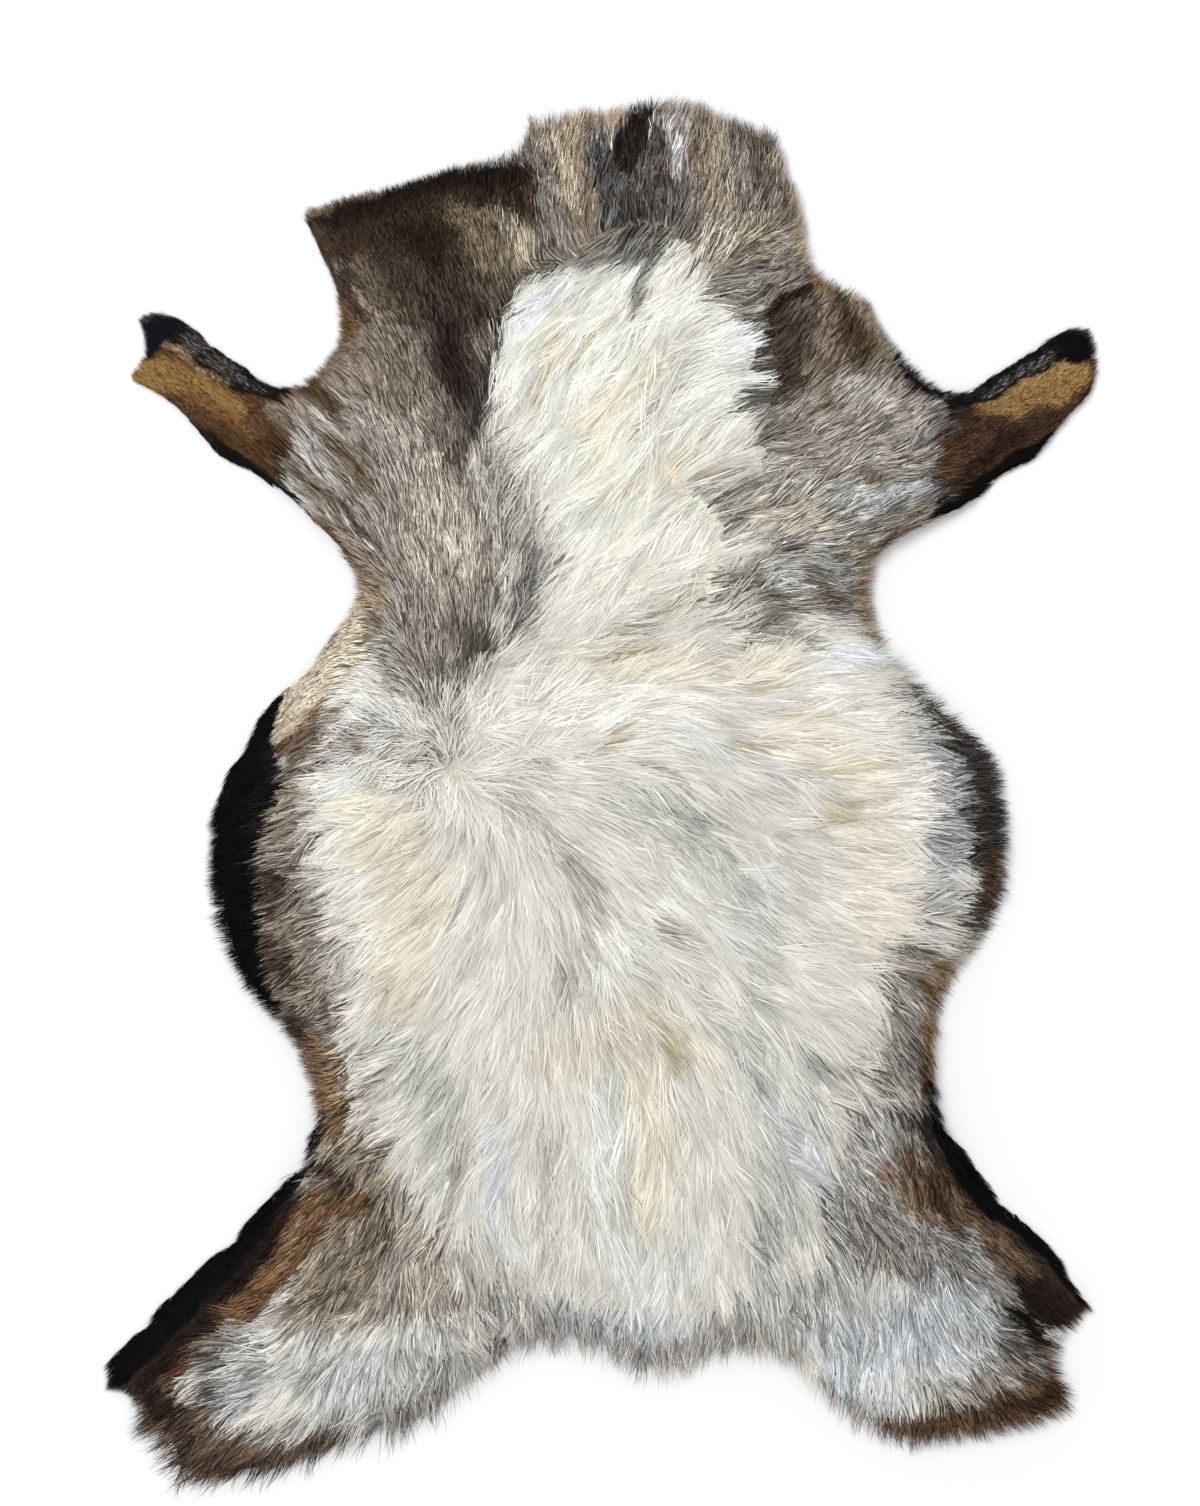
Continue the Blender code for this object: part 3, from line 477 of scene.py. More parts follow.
    ("#8f7d61", 9, 0.4, 0.3, 945, 394, 4, 962, 390, 3),
    ("#232838", 13, 0.7, 0.4, 968, 392, 7, 985, 386, 5),
    ("#0a0909", 5, 1.0, 0.4, 1068, 338, 13, 1080, 344, 14, 1074, 354, 10),
    ("#100c0a", 8, 1.0, 0.4, 945, 514, 9, 975, 496, 14, 1004, 476, 14, 1037, 456, 13, 1066, 434, 9,
     1090, 402, 7),
    # left waist, whorl's left side, belly band and ginger waist
    ("#bfb19a", 23, 1.0, 0.34, 366, 590, 12, 345, 640, 20, 305, 698, 22, 285, 730, 12),
    ("#d0c6b2", 23, 0.8, 0.26, 362, 615, 5, 345, 655, 10, 318, 690, 12, 300, 712, 8),
    ("#7d6a55", 23, 0.8, 0.38, 355, 568, 7, 378, 590, 9, 374, 630, 7, 358, 642, 3),
    ("#a78c68", 8, 0.8, 0.3, 352, 590, 3, 366, 604, 5),
    ("#9c8d78", 6, 0.8, 0.34, 312, 654, 3, 326, 646, 3, 338, 630, 2),
    ("#7b7268", 6, 0.75, 0.36, 296, 678, 3, 288, 690, 3),
    ("#7a5f46", 18, 0.95, 0.36, 282, 752, 7, 305, 738, 9, 326, 712, 6),
    ("#96897b", 23, 0.85, 0.36, 300, 768, 8, 322, 740, 10, 338, 712, 6),
    ("#d6d6d3", 34, 0.8, 0.14, 350, 712, 8, 378, 706, 12, 395, 720, 12, 375, 745, 8),
    ("#aeacab", 23, 0.85, 0.24, 320, 770, 8, 336, 748, 9, 340, 728, 6),
    ("#8a7d70", 18, 0.9, 0.3, 346, 740, 5, 358, 744, 9),
    ("#dfe0df", 31, 0.8, 0.1, 330, 790, 10, 350, 772, 10),
    ("#857b70", 34, 0.95, 0.42, 290, 778, 12, 276, 830, 22, 280, 900, 26, 298, 970, 28, 318, 1015, 22),
    ("#a5a09a", 34, 0.75, 0.34, 310, 800, 6, 300, 850, 8, 318, 905, 8, 340, 980, 12),
    ("#3d3129", 21, 0.9, 0.44, 262, 868, 6, 268, 895, 12, 272, 912, 8),
    ("#221b16", 13, 0.8, 0.44, 278, 880, 8, 292, 888, 6),
    ("#46382e", 21, 0.9, 0.44, 268, 936, 8, 280, 962, 12, 290, 985, 8),
    ("#57493d", 16, 0.8, 0.44, 285, 1010, 6, 302, 1024, 6),
    ("#050404", 6, 1.0, 0.6, 282, 684, 7, 262, 704, 18, 250, 728, 27, 242, 757, 36, 236, 790, 37),
    ("#050404", 6, 1.0, 0.6, 238, 790, 34, 228, 820, 33, 224, 850, 32, 224, 885, 30, 230, 920, 28,
     238, 950, 26, 248, 980, 22, 260, 1003, 15, 272, 1020, 7),
    ("#131010", 21, 0.85, 0.6, 272, 752, 8, 266, 785, 10, 252, 830, 8),
    ("#3a2c22", 13, 0.9, 0.44, 282, 1022, 8, 290, 1048, 12, 298, 1072, 9),
    ("#7f6850", 29, 0.95, 0.4, 322, 1050, 10, 328, 1085, 20, 328, 1125, 16),
    ("#957a58", 18, 0.55, 0.34, 318, 1075, 5, 328, 1095, 7, 322, 1112, 5),
    ("#3f3026", 5, 0.9, 0.4, 300, 1076, 5, 304, 1100, 5, 306, 1118, 4),
    ("#a39d94", 31, 0.85, 0.34, 352, 1040, 10, 366, 1085, 12, 364, 1130, 12),
    # left thigh, haunch and hind leg
    ("#8d8171", 44, 1.0, 0.38, 360, 1160, 24, 362, 1220, 38, 330, 1280, 34, 290, 1310, 14),
    ("#a29d92", 36, 0.8, 0.34, 405, 1190, 14, 408, 1240, 18, 395, 1290, 16),
    ("#6c5139", 21, 1.0, 0.42, 362, 1200, 8, 320, 1205, 16, 292, 1245, 20, 262, 1285, 18, 222, 1325, 12,
     165, 1372, 12),
    ("#735739", 23, 0.7, 0.42, 282, 1252, 8, 268, 1278, 12, 285, 1285, 6),
    ("#a08c70", 13, 0.45, 0.3, 330, 1195, 6, 300, 1225, 7, 280, 1262, 6),
    ("#40322a", 18, 0.95, 0.42, 305, 1172, 8, 330, 1176, 10, 352, 1182, 6),
    ("#74624f", 23, 0.8, 0.38, 330, 1120, 9, 332, 1150, 10),
    ("#6d6151", 13, 0.8, 0.34, 345, 1288, 8, 354, 1296, 5),
    ("#837c6f", 21, 0.75, 0.36, 370, 1300, 7, 430, 1306, 12, 490, 1296, 10),
    ("#6f675b", 13, 0.8, 0.34, 492, 1282, 4, 492, 1300, 5),
    ("#a9a9a7", 34, 1.0, 0.3, 245, 1335, 14, 240, 1375, 24, 225, 1405, 20),
    ("#b9b9b5", 49, 1.0, 0.24, 290, 1360, 22, 335, 1380, 40, 410, 1375, 38, 455, 1360, 18),
    ("#c9c8c5", 21, 0.8, 0.26, 228, 1335, 7, 262, 1322, 8, 258, 1345, 8),
    ("#d6dade", 34, 0.7, 0.18, 318, 1408, 7, 345, 1390, 12, 372, 1360, 8),
    ("#dcdddc", 26, 0.7, 0.18, 296, 1370, 6, 288, 1395, 8),
    ("#dcdddc", 23, 0.7, 0.18, 392, 1365, 6, 396, 1398, 8),
    ("#918d86", 13, 0.75, 0.3, 430, 1362, 6, 446, 1392, 6),
    ("#8f8b84", 13, 0.65, 0.3, 312, 1352, 4, 308, 1380, 5),
    ("#7a7875", 34, 0.9, 0.34, 205, 1402, 11, 197, 1378, 13, 214, 1350, 12, 236, 1328, 7),
    ("#a09b93", 26, 0.9, 0.34, 250, 1425, 8, 330, 1430, 8, 420, 1420, 10, 455, 1400, 8),
    ("#5d4c40", 21, 1.0, 0.44, 205, 1425, 14, 225, 1450, 20, 270, 1465, 22, 330, 1462, 18, 375, 1452, 12),
    ("#6f6154", 16, 0.8, 0.44, 375, 1446, 8, 410, 1434, 6, 450, 1412, 3),
    ("#42352d", 16, 0.85, 0.44, 170, 1462, 8, 200, 1472, 12, 240, 1476, 10, 300, 1476, 8),
    ("#3a2d25", 18, 1.0, 0.44, 142, 1392, 10, 160, 1405, 16, 178, 1422, 14, 190, 1445, 10),
    ("#664c33", 18, 0.75, 0.42, 165, 1362, 6, 182, 1352, 5, 172, 1378, 4),
    ("#050506", 6, 1.0, 0.6, 314, 1104, 5, 304, 1138, 13, 290, 1164, 19, 268, 1190, 24, 242, 1219, 28),
    ("#050506", 6, 1.0, 0.6, 242, 1219, 28, 205, 1262, 31, 166, 1306, 30, 132, 1342, 26, 108, 1366, 20),
    # tail
    ("#a7a29a", 18, 0.85, 0.3, 480, 1366, 6, 530, 1344, 7, 590, 1336, 7, 640, 1362, 8),
    ("#a7a29a", 18, 0.85, 0.3, 640, 1366, 8, 700, 1360, 7, 750, 1338, 6, 800, 1366, 7),
    ("#75706a", 9, 0.8, 0.34, 496, 1352, 5, 522, 1342, 4),
    ("#6d6862", 8, 0.8, 0.34, 630, 1368, 4, 650, 1372, 5),
    ("#b49c82", 5, 0.8, 0.26, 480, 1388, 3, 540, 1352, 3, 600, 1346, 3),
    ("#b49c82", 5, 0.8, 0.26, 700, 1374, 3, 745, 1348, 3, 800, 1384, 3),
    ("#b9bdc4", 23, 0.75, 0.24, 600, 1320, 7, 690, 1340, 10, 640, 1352, 8),
    # right flank and hip
    ("#a7a6a4", 39, 0.9, 0.32, 905, 690, 6, 940, 740, 14, 950, 800, 18, 948, 860, 18, 935, 915, 14),
    ("#8d9097", 23, 0.8, 0.34, 945, 745, 6, 962, 790, 8, 965, 830, 8, 960, 860, 6),
    ("#3a3532", 26, 1.0, 0.46, 922, 686, 7, 952, 710, 13, 976, 740, 21, 990, 778, 27, 1000, 820, 29,
     1000, 860, 25, 992, 900, 19, 980, 930, 10),
    ("#503d2e", 9, 0.95, 0.4, 1004, 858, 9, 998, 895, 12, 984, 932, 9),
    ("#86705a", 16, 0.8, 0.38, 990, 925, 5, 974, 952, 8, 960, 975, 8),
    ("#8a8780", 23, 0.8, 0.36, 895, 965, 8, 915, 978, 10, 905, 1005, 8),
    ("#969189", 31, 0.95, 0.38, 908, 960, 16, 906, 1010, 18, 900, 1060, 20, 890, 1105, 20),
    ("#6d5a47", 18, 0.9, 0.4, 928, 985, 8, 936, 1010, 7, 928, 1040, 8),
    ("#7d6547", 21, 0.95, 0.4, 956, 968, 9, 945, 1000, 13, 938, 1040, 15, 934, 1075, 13, 938, 1095, 7),
    ("#4c3826", 13, 0.85, 0.4, 915, 1046, 4, 925, 1070, 6, 930, 1092, 6),
    ("#8b8474", 18, 0.7, 0.3, 832, 1072, 6, 850, 1070, 6),
    # right thigh, haunch and hind leg
    ("#a3a19b", 44, 0.95, 0.34, 880, 1110, 20, 860, 1170, 26, 850, 1240, 30),
    ("#87837c", 29, 0.9, 0.38, 855, 1205, 8, 885, 1212, 9, 858, 1245, 16, 895, 1268, 14),
    ("#665242", 40, 0.9, 0.44, 905, 1155, 14, 925, 1188, 22, 955, 1210, 18, 990, 1238, 14, 1020, 1272, 13),
    ("#76604a", 18, 0.7, 0.4, 885, 1170, 8, 905, 1195, 10, 930, 1220, 9),
    ("#9b9a98", 18, 0.85, 0.32, 950, 1220, 5, 975, 1226, 5, 965, 1250, 9, 985, 1262, 6),
    ("#332d2a", 21, 0.95, 0.44, 905, 1126, 8, 925, 1130, 12, 945, 1150, 12),
    ("#babdbf", 49, 1.0, 0.24, 835, 1330, 26, 880, 1345, 42, 940, 1330, 40, 975, 1330, 26),
    ("#8e8d8a", 18, 0.75, 0.32, 930, 1268, 4, 945, 1262, 8, 925, 1290, 4),
    ("#d2d6d9", 26, 0.7, 0.2, 935, 1276, 5, 935, 1300, 5, 975, 1290, 8, 985, 1308, 7),
    ("#cfd4da", 36, 0.75, 0.2, 850, 1385, 12, 885, 1360, 14, 900, 1330, 10),
    ("#d2d6d9", 26, 0.65, 0.2, 925, 1325, 5, 955, 1348, 7, 965, 1370, 5),
    ("#8c8983", 8, 0.75, 0.32, 822, 1312, 5, 824, 1345, 4),
    ("#99968f", 8, 0.7, 0.3, 868, 1318, 4, 876, 1345, 4),
    ("#a29f98", 18, 0.75, 0.32, 955, 1328, 5, 985, 1332, 7, 1005, 1345, 8),
    ("#b9bdc0", 36, 0.85, 0.26, 835, 1398, 12, 880, 1402, 14, 905, 1398, 10),
    ("#9c9b98", 34, 0.9, 0.32, 918, 1394, 12, 952, 1388, 12),
    ("#7c746c", 34, 0.9, 0.38, 976, 1382, 12, 1010, 1372, 12, 1040, 1378, 10),
    ("#a39a90", 23, 0.9, 0.32, 815, 1388, 5, 850, 1418, 9, 880, 1428, 10),
    ("#6b665f", 23, 0.95, 0.4, 1010, 1348, 10, 1035, 1352, 12, 1025, 1372, 10),
    ("#5d4838", 21, 1.0, 0.44, 890, 1440, 12, 935, 1430, 18, 985, 1416, 22, 1034, 1402, 24, 1064, 1388, 18),
    ("#3c2a1e", 16, 0.9, 0.44, 1000, 1410, 6, 1035, 1402, 10, 1062, 1392, 9),
    ("#7a5733", 13, 0.8, 0.36, 950, 1428, 6, 968, 1432, 6),
    ("#7c6a58", 13, 0.75, 0.4, 880, 1448, 8, 905, 1452, 8, 940, 1448, 6),
    ("#8f7c66", 8, 0.75, 0.36, 1052, 1350, 4, 1068, 1366, 5),
    ("#241b15", 18, 1.0, 0.44, 1040, 1296, 14, 1062, 1308, 12, 1060, 1322, 9),
    ("#171312", 26, 0.9, 0.5, 1012, 1280, 6, 1032, 1303, 10, 1048, 1318, 8),
    ("#080606", 9, 1.0, 0.6, 942, 1092, 9, 955, 1120, 25, 970, 1148, 29, 992, 1176, 29, 1016, 1202, 27),
    ("#080606", 9, 1.0, 0.6, 1016, 1202, 27, 1046, 1228, 26, 1070, 1254, 24, 1090, 1282, 20),
    # single spots laid over the rest
    ("#adacab", 26, 0.8, 0.28, 290, 1426, 6, 340, 1428, 7, 390, 1414, 6),
    ("#bfbeb4", 46, 0.75, 0.2, 772, 930, 10, 762, 1000, 16, 770, 1065, 10),
    ("#eff0ec", 46, 0.85, 0.1, 602, 1100, 10, 600, 1155, 18, 606, 1205, 10),
    ("#adada8", 42, 0.8, 0.26, 768, 1212, 10, 762, 1258, 16, 775, 1305, 10),
    ("#474544", 26, 0.8, 0.5, 600, 135, 7, 600, 172, 12, 608, 205, 8),
    ("#938b81", 36, 0.7, 0.4, 732, 165, 10, 742, 200, 14),
    ("#46372a", 34, 0.9, 0.44, 836, 302, 9, 850, 334, 14, 868, 358, 8),
    ("#251f1a", 34, 0.9, 0.44, 446, 328, 12, 452, 362, 14, 462, 398, 9),
    ("#3d2e21", 26, 0.9, 0.46, 928, 1176, 8, 944, 1206, 11, 962, 1228, 7),
    ("#1f1712", 20, 0.9, 0.48, 300, 1196, 6, 272, 1238, 10, 240, 1272, 8, 205, 1310, 6),
    ("#b4b0a3", 40, 0.8, 0.3, 406, 535, 10, 422, 564, 14, 440, 592, 8),
    ("#f3f1e3", 36, 0.8, 0.08, 662, 384, 8, 636, 405, 12, 614, 432, 8),
    ("#4b3b29", 30, 1.0, 0.46, 298, 374, 10, 316, 395, 14, 332, 414, 9),
    ("#62594f", 28, 1.0, 0.4, 496, 296, 8, 520, 282, 12, 548, 266, 10),
    ("#7b7a74", 26, 0.95, 0.32, 560, 266, 11, 600, 256, 11, 642, 264, 14, 640, 286, 8),
    ("#74716a", 30, 0.95, 0.36, 722, 296, 9, 745, 310, 12, 762, 328, 8),
    ("#7b7a74", 28, 0.95, 0.32, 746, 402, 9, 762, 420, 12, 772, 438, 8),
    ("#d5d7d1", 22, 0.9, 0.14, 738, 370, 9, 758, 376, 9, 772, 384, 6),
    ("#85837a", 34, 0.9, 0.3, 768, 632, 10, 795, 634, 14, 815, 642, 9),
    ("#c8c8c2", 30, 0.9, 0.26, 772, 566, 9, 790, 580, 12, 806, 590, 7),
    ("#dedcd0", 30, 0.95, 0.14, 700, 586, 10, 726, 597, 14, 748, 606, 11),
    ("#605448", 28, 0.9, 0.4, 290, 770, 9, 301, 752, 12, 316, 738, 7),
    ("#9b968c", 28, 0.8, 0.28, 350, 744, 9, 362, 724, 11),
    ("#1e1612", 24, 0.95, 0.48, 216, 1312, 8, 196, 1334, 11, 166, 1360, 11, 142, 1382, 9),
    ("#211814", 26, 0.85, 0.48, 146, 1394, 8, 164, 1410, 10, 176, 1424, 6),
    ("#605d5a", 32, 0.85, 0.38, 204, 1392, 9, 202, 1372, 12, 216, 1346, 10),
    ("#191511", 24, 1.0, 0.48, 1020, 1314, 9, 1036, 1332, 13, 1050, 1342, 8),
    ("#a9aaa5", 42, 0.8, 0.26, 818, 1062, 11, 815, 1100, 15, 822, 1138, 10),
    ("#cfd0ca", 40, 0.6, 0.16, 604, 1060, 8, 600, 1092, 10),
    ("#a99c8f", 26, 0.8, 0.36, 540, 120, 6, 545, 145, 8, 548, 165, 6),
    ("#8d8781", 26, 0.9, 0.38, 540, 186, 8, 545, 205, 10, 552, 222, 6),
    ("#c6bfb0", 30, 0.85, 0.3, 704, 228, 8, 722, 236, 10, 742, 240, 7),
    ("#bdaf9d", 30, 0.6, 0.32, 778, 160, 7, 787, 185, 9),
    ("#aeada2", 30, 0.75, 0.26, 496, 588, 7, 512, 602, 8),
    ("#9f988c", 30, 0.7, 0.32, 406, 640, 7, 424, 652, 8),
    ("#d6dfe8", 36, 0.85, 0.18, 822, 1358, 9, 840, 1386, 10),
    ("#bcc1c6", 28, 0.85, 0.26, 556, 1320, 8, 590, 1328, 10, 622, 1336, 8),
    ("#a29f97", 28, 0.85, 0.34, 902, 1012, 9, 907, 1044, 10),
    ("#2a1c14", 30, 0.85, 0.46, 970, 466, 9, 996, 448, 11, 1020, 436, 8),
    ("#2f2720", 30, 0.7, 0.5, 452, 288, 8, 468, 300, 10),
)
fleece = {"colour": "#dddbd2", "spread": 0.06}
mixing = {
    "lock": 0.25,       # how far a lock keeps to one colour
    "blend": 0.8,       # how far two colours blend in a strand
    "wander": 4.5,      # how far the borders wander from the strokes, in pixels
    "winding": 19.0,    # and over what length
    "shade": (1.0, 0.975, 0.92),     # painted warm light: the colour between the strands is tinted warm
    "lengths": (0.010, 0.020, 0.035),       # a strand of such a length is darkened to this share of its colour as painted shade, as the light lifts it
    "paintedShadeShares": (0.78, 0.84, 0.775),          # is dyed with this share of its colour: the light lifts it
}

# where the wool is ruffled out of its lay: across, down, reach in pixels, and turn of the locks in degrees
ruffled = (
    (446, 758, 70, 48),     # whorl
    (510, 735, 60, 34),     # whorl, right
    (372, 748, 40, 24),     # whorl, left
    (355, 735, 26, 24),     # whorl, tuft
    (640, 800, 70, 12),     # saddle
    (600, 960, 90, 10),     # back
    (720, 275, 34, 26),     # blaze, top
    (915, 1230, 42, 34),    # right thigh
    (975, 1310, 34, 30),    # right haunch
    (250, 1335, 34, 22),    # left haunch
    (230, 1455, 60, 14),    # left haunch, hem
)


# every place takes the mean of the guides round it, the nearer the more; far from all of them, farShare
# still lets the nearest decide
farShare = 1e-5
parting = {"choice": 0.5, "hold": 1.5}      # how freely strands take a side, and how far they keep to it


def guideWeights(points, rows):
    places = np.array([row[:2] for row in rows], float)
    reach = np.array([row[2] for row in rows], float)
    away = np.linalg.norm(points[:, None] - places[None], axis=2) / reach
    weights = np.exp(-away**2 / 2) + farShare / (1 + away**4)
    return weights / weights.sum(axis=1, keepdims=True)


def inBatches(work, points, size=4000):
    return np.concatenate([work(points[i : i + size]) for i in range(0, len(points), size)])


def unit(arrows):
    return arrows / np.maximum(np.linalg.norm(arrows, axis=1, keepdims=True), 1e-6)


def rotated(arrows, angles):
    cos, sin = np.cos(angles), np.sin(angles)
    x, y = arrows.T
    return np.column_stack([x * cos - y * sin, x * sin + y * cos])


# guides that point opposite ways meet in a parting, where each strand takes one way or the other
def layAt(points, sides=None):
    headings = np.radians([row[3] for row in lay])
    double = 2 * headings
    arrows = np.stack([np.cos(headings), np.sin(headings), np.cos(double), np.sin(double)], axis=1)
    found = inBatches(lambda some: guideWeights(some, lay) @ arrows, points)
    agreed = np.linalg.norm(found[:, :2], axis=1)
    halfTurn = np.arctan2(found[:, 3], found[:, 2]) / 2
    axis = np.stack([np.cos(halfTurn), np.sin(halfTurn)], axis=1)
    lean = (found[:, :2] * axis).sum(axis=1)
    if sides is not None:
        lean = lean + sides * parting["choice"] * (1 - agreed)
    hold = np.linalg.norm(found[:, 2:], axis=1) * (1 - agreed) * parting["hold"]
    way = np.where(lean >= 0, 1.0, -1.0) * hold
    return unit(found[:, :2] + way[:, None] * axis)


def coatAt(points):
    sizes = np.array([row[3:] for row in coat], float)
    return inBatches(lambda some: guideWeights(some, coat) @ sizes, points) / 1000


def ruffleAt(points):
    turn = np.zeros(len(points))
    for across, down, reach, degrees in ruffled:
        away = np.linalg.norm(points - (across, down), axis=1) / reach
        turn += degrees * np.exp(-away**2)
    return np.radians(turn)


# how far points lie outside a stroke, in pixels; under zero is inside it
def fromStroke(points, stroke):
    nearest = np.full(len(points), 1e9)
    for start, end in zip(stroke, stroke[1:]):
        width, widening = start[2], end[2] - start[2]
        start, along = np.array(start[:2], float), np.subtract(end[:2], start[:2])
        share = np.clip((points - start) @ along / (along @ along), 0, 1)
        away = np.linalg.norm(points - start - share[:, None] * along, axis=1) - width - share * widening
        nearest = np.minimum(nearest, away)
    return nearest


# borders wander in long waves, so that no stroke shows its straight sides; the waves add up to 1.7 at most,
# which the 0.6 takes back to one
def wandered(points):
    across, down = points.T / mixing["winding"]
    aside = np.sin(down + 1.0) + 0.7 * np.sin(1.4 * across + 2.2 * down + 2.0)
    along = np.sin(across + 4.0) + 0.7 * np.sin(2.0 * across - 1.5 * down)
    return points + mixing["wander"] * 0.6 * np.column_stack([aside, along])


# the colour of the wool at each point; with a lot drawn for each point (0 to 1), strands of two markings
# stand mixed where the markings meet, and without it they blend
def coloursAt(points, chance=None, lots=None):
    colours = np.tile(linear(fleece["colour"]), (len(points), 1))
    spreads = np.full(len(points), fleece["spread"])
    points = wandered(points)
    for hexColour, softness, strength, spread, *path in markingsAndPaintedShade:
        cover = np.clip(0.5 - fromStroke(points, np.reshape(path, (-1, 3))) / softness, 0, 1)
        cover = strength * cover * cover * (3 - 2 * cover)
        if lots is not None:
            near = cover > 0
            drawn = (lots[near] * mixing["lock"] + chance.random(near.sum())) / (1 + mixing["lock"])
            cover[near] = np.clip((cover[near] * (1 + mixing["blend"]) - drawn) / mixing["blend"], 0, 1)
        colours += cover[:, None] * (np.array(linear(hexColour)) - colours)
        spreads += cover * (spread - spreads)
    return colours, spreads


def addNode(tree, kind, inputs=(), **settings):
    node = tree.nodes.new(kind)
    for setting, value in settings.items():
        setattr(node, setting, value)
    for socket, value in dict(inputs).items():
        if isinstance(value, bpy.types.NodeSocket):
            tree.links.new(value, node.inputs[socket])
        else:
            node.inputs[socket].default_value = value
    return node


def newMaterial(name):
    material = bpy.data.materials.new(name)
    material.use_nodes = True
    return material, material.node_tree, material.node_tree.nodes["Principled BSDF"]


noiseRange = {"From Min": 0.3, "From Max": 0.7}     # what Blender's noise mostly stays within


# wool left on the skin and combed: crimped fibres scatter light softly, so it is matt with a very faint
# sheen; a strand carries its dye and how uneven it is as attributes, and its colour darkens towards its
# root as painted shade, for the shade of the other strands. The fibres are 0.03 mm thick, too fine to show,
# so the streaks along a strand are drawn about 0.4 mm wide
def combedWool():
    fibreHeight = 0.0002
    material, tree, shader = newMaterial("combedLambsWool")
    dye = addNode(tree, "ShaderNodeAttribute", attribute_name="wool")
    local = addNode(tree, "ShaderNodeAttribute", attribute_name="local")
    uneven = addNode(tree, "ShaderNodeAttribute", attribute_name="uneven")
    swing = addNode(tree, "ShaderNodeAttribute", attribute_name="swing")
    along = addNode(tree, "ShaderNodeSeparateXYZ", {"Vector": local.outputs["Vector"]})
    drawn = addNode(tree, "ShaderNodeVectorMath", {0: local.outputs["Vector"], 1: (1.8, 0.0, 3.0)},
                    operation="MULTIPLY")
    shifted = addNode(tree, "ShaderNodeVectorMath", {0: swing.outputs["Fac"], 1: (9.0, 9.0, 9.0),
                                                     2: drawn.outputs[0]}, operation="MULTIPLY_ADD")
    fibres = addNode(tree, "ShaderNodeTexNoise", {"Vector": shifted.outputs[0], "Scale": 1.0, "Detail": 2.0})
    streak = addNode(tree, "ShaderNodeMapRange", {"Value": fibres.outputs["Fac"], **noiseRange,
                                                  "To Min": -1.0, "To Max": 1.0})
    # painted shade: a strand's colour darkens towards its root
    paintedRootShade = addNode(tree, "ShaderNodeMapRange", {"Value": along.outputs["Z"], "From Max": 0.5,
                                                "To Min": 0.80, "To Max": 1.0})
    tone = addNode(tree, "ShaderNodeMath", {0: streak.outputs["Result"], 1: uneven.outputs["Fac"],
                                            2: paintedRootShade.outputs["Result"]}, operation="MULTIPLY_ADD")
    shaded = addNode(tree, "ShaderNodeVectorMath", {0: dye.outputs["Color"], "Scale": tone.outputs[0]},
                     operation="SCALE")
    rough = addNode(tree, "ShaderNodeMapRange", {"Value": fibres.outputs["Fac"], **noiseRange,
                                                 "To Min": 0.64, "To Max": 0.82})
    bump = addNode(tree, "ShaderNodeBump", {"Height": fibres.outputs["Fac"], "Strength": 0.3,
                                            "Distance": fibreHeight})
    tree.links.new(shaded.outputs["Vector"], shader.inputs["Base Color"])
    tree.links.new(rough.outputs["Result"], shader.inputs["Roughness"])
    tree.links.new(bump.outputs["Normal"], shader.inputs["Normal"])
    shader.inputs["IOR"].default_value = 1.45
    shader.inputs["Specular IOR Level"].default_value = 0.06
    shader.inputs["Sheen Weight"].default_value = 0.01
    shader.inputs["Sheen Roughness"].default_value = 0.5
    return material


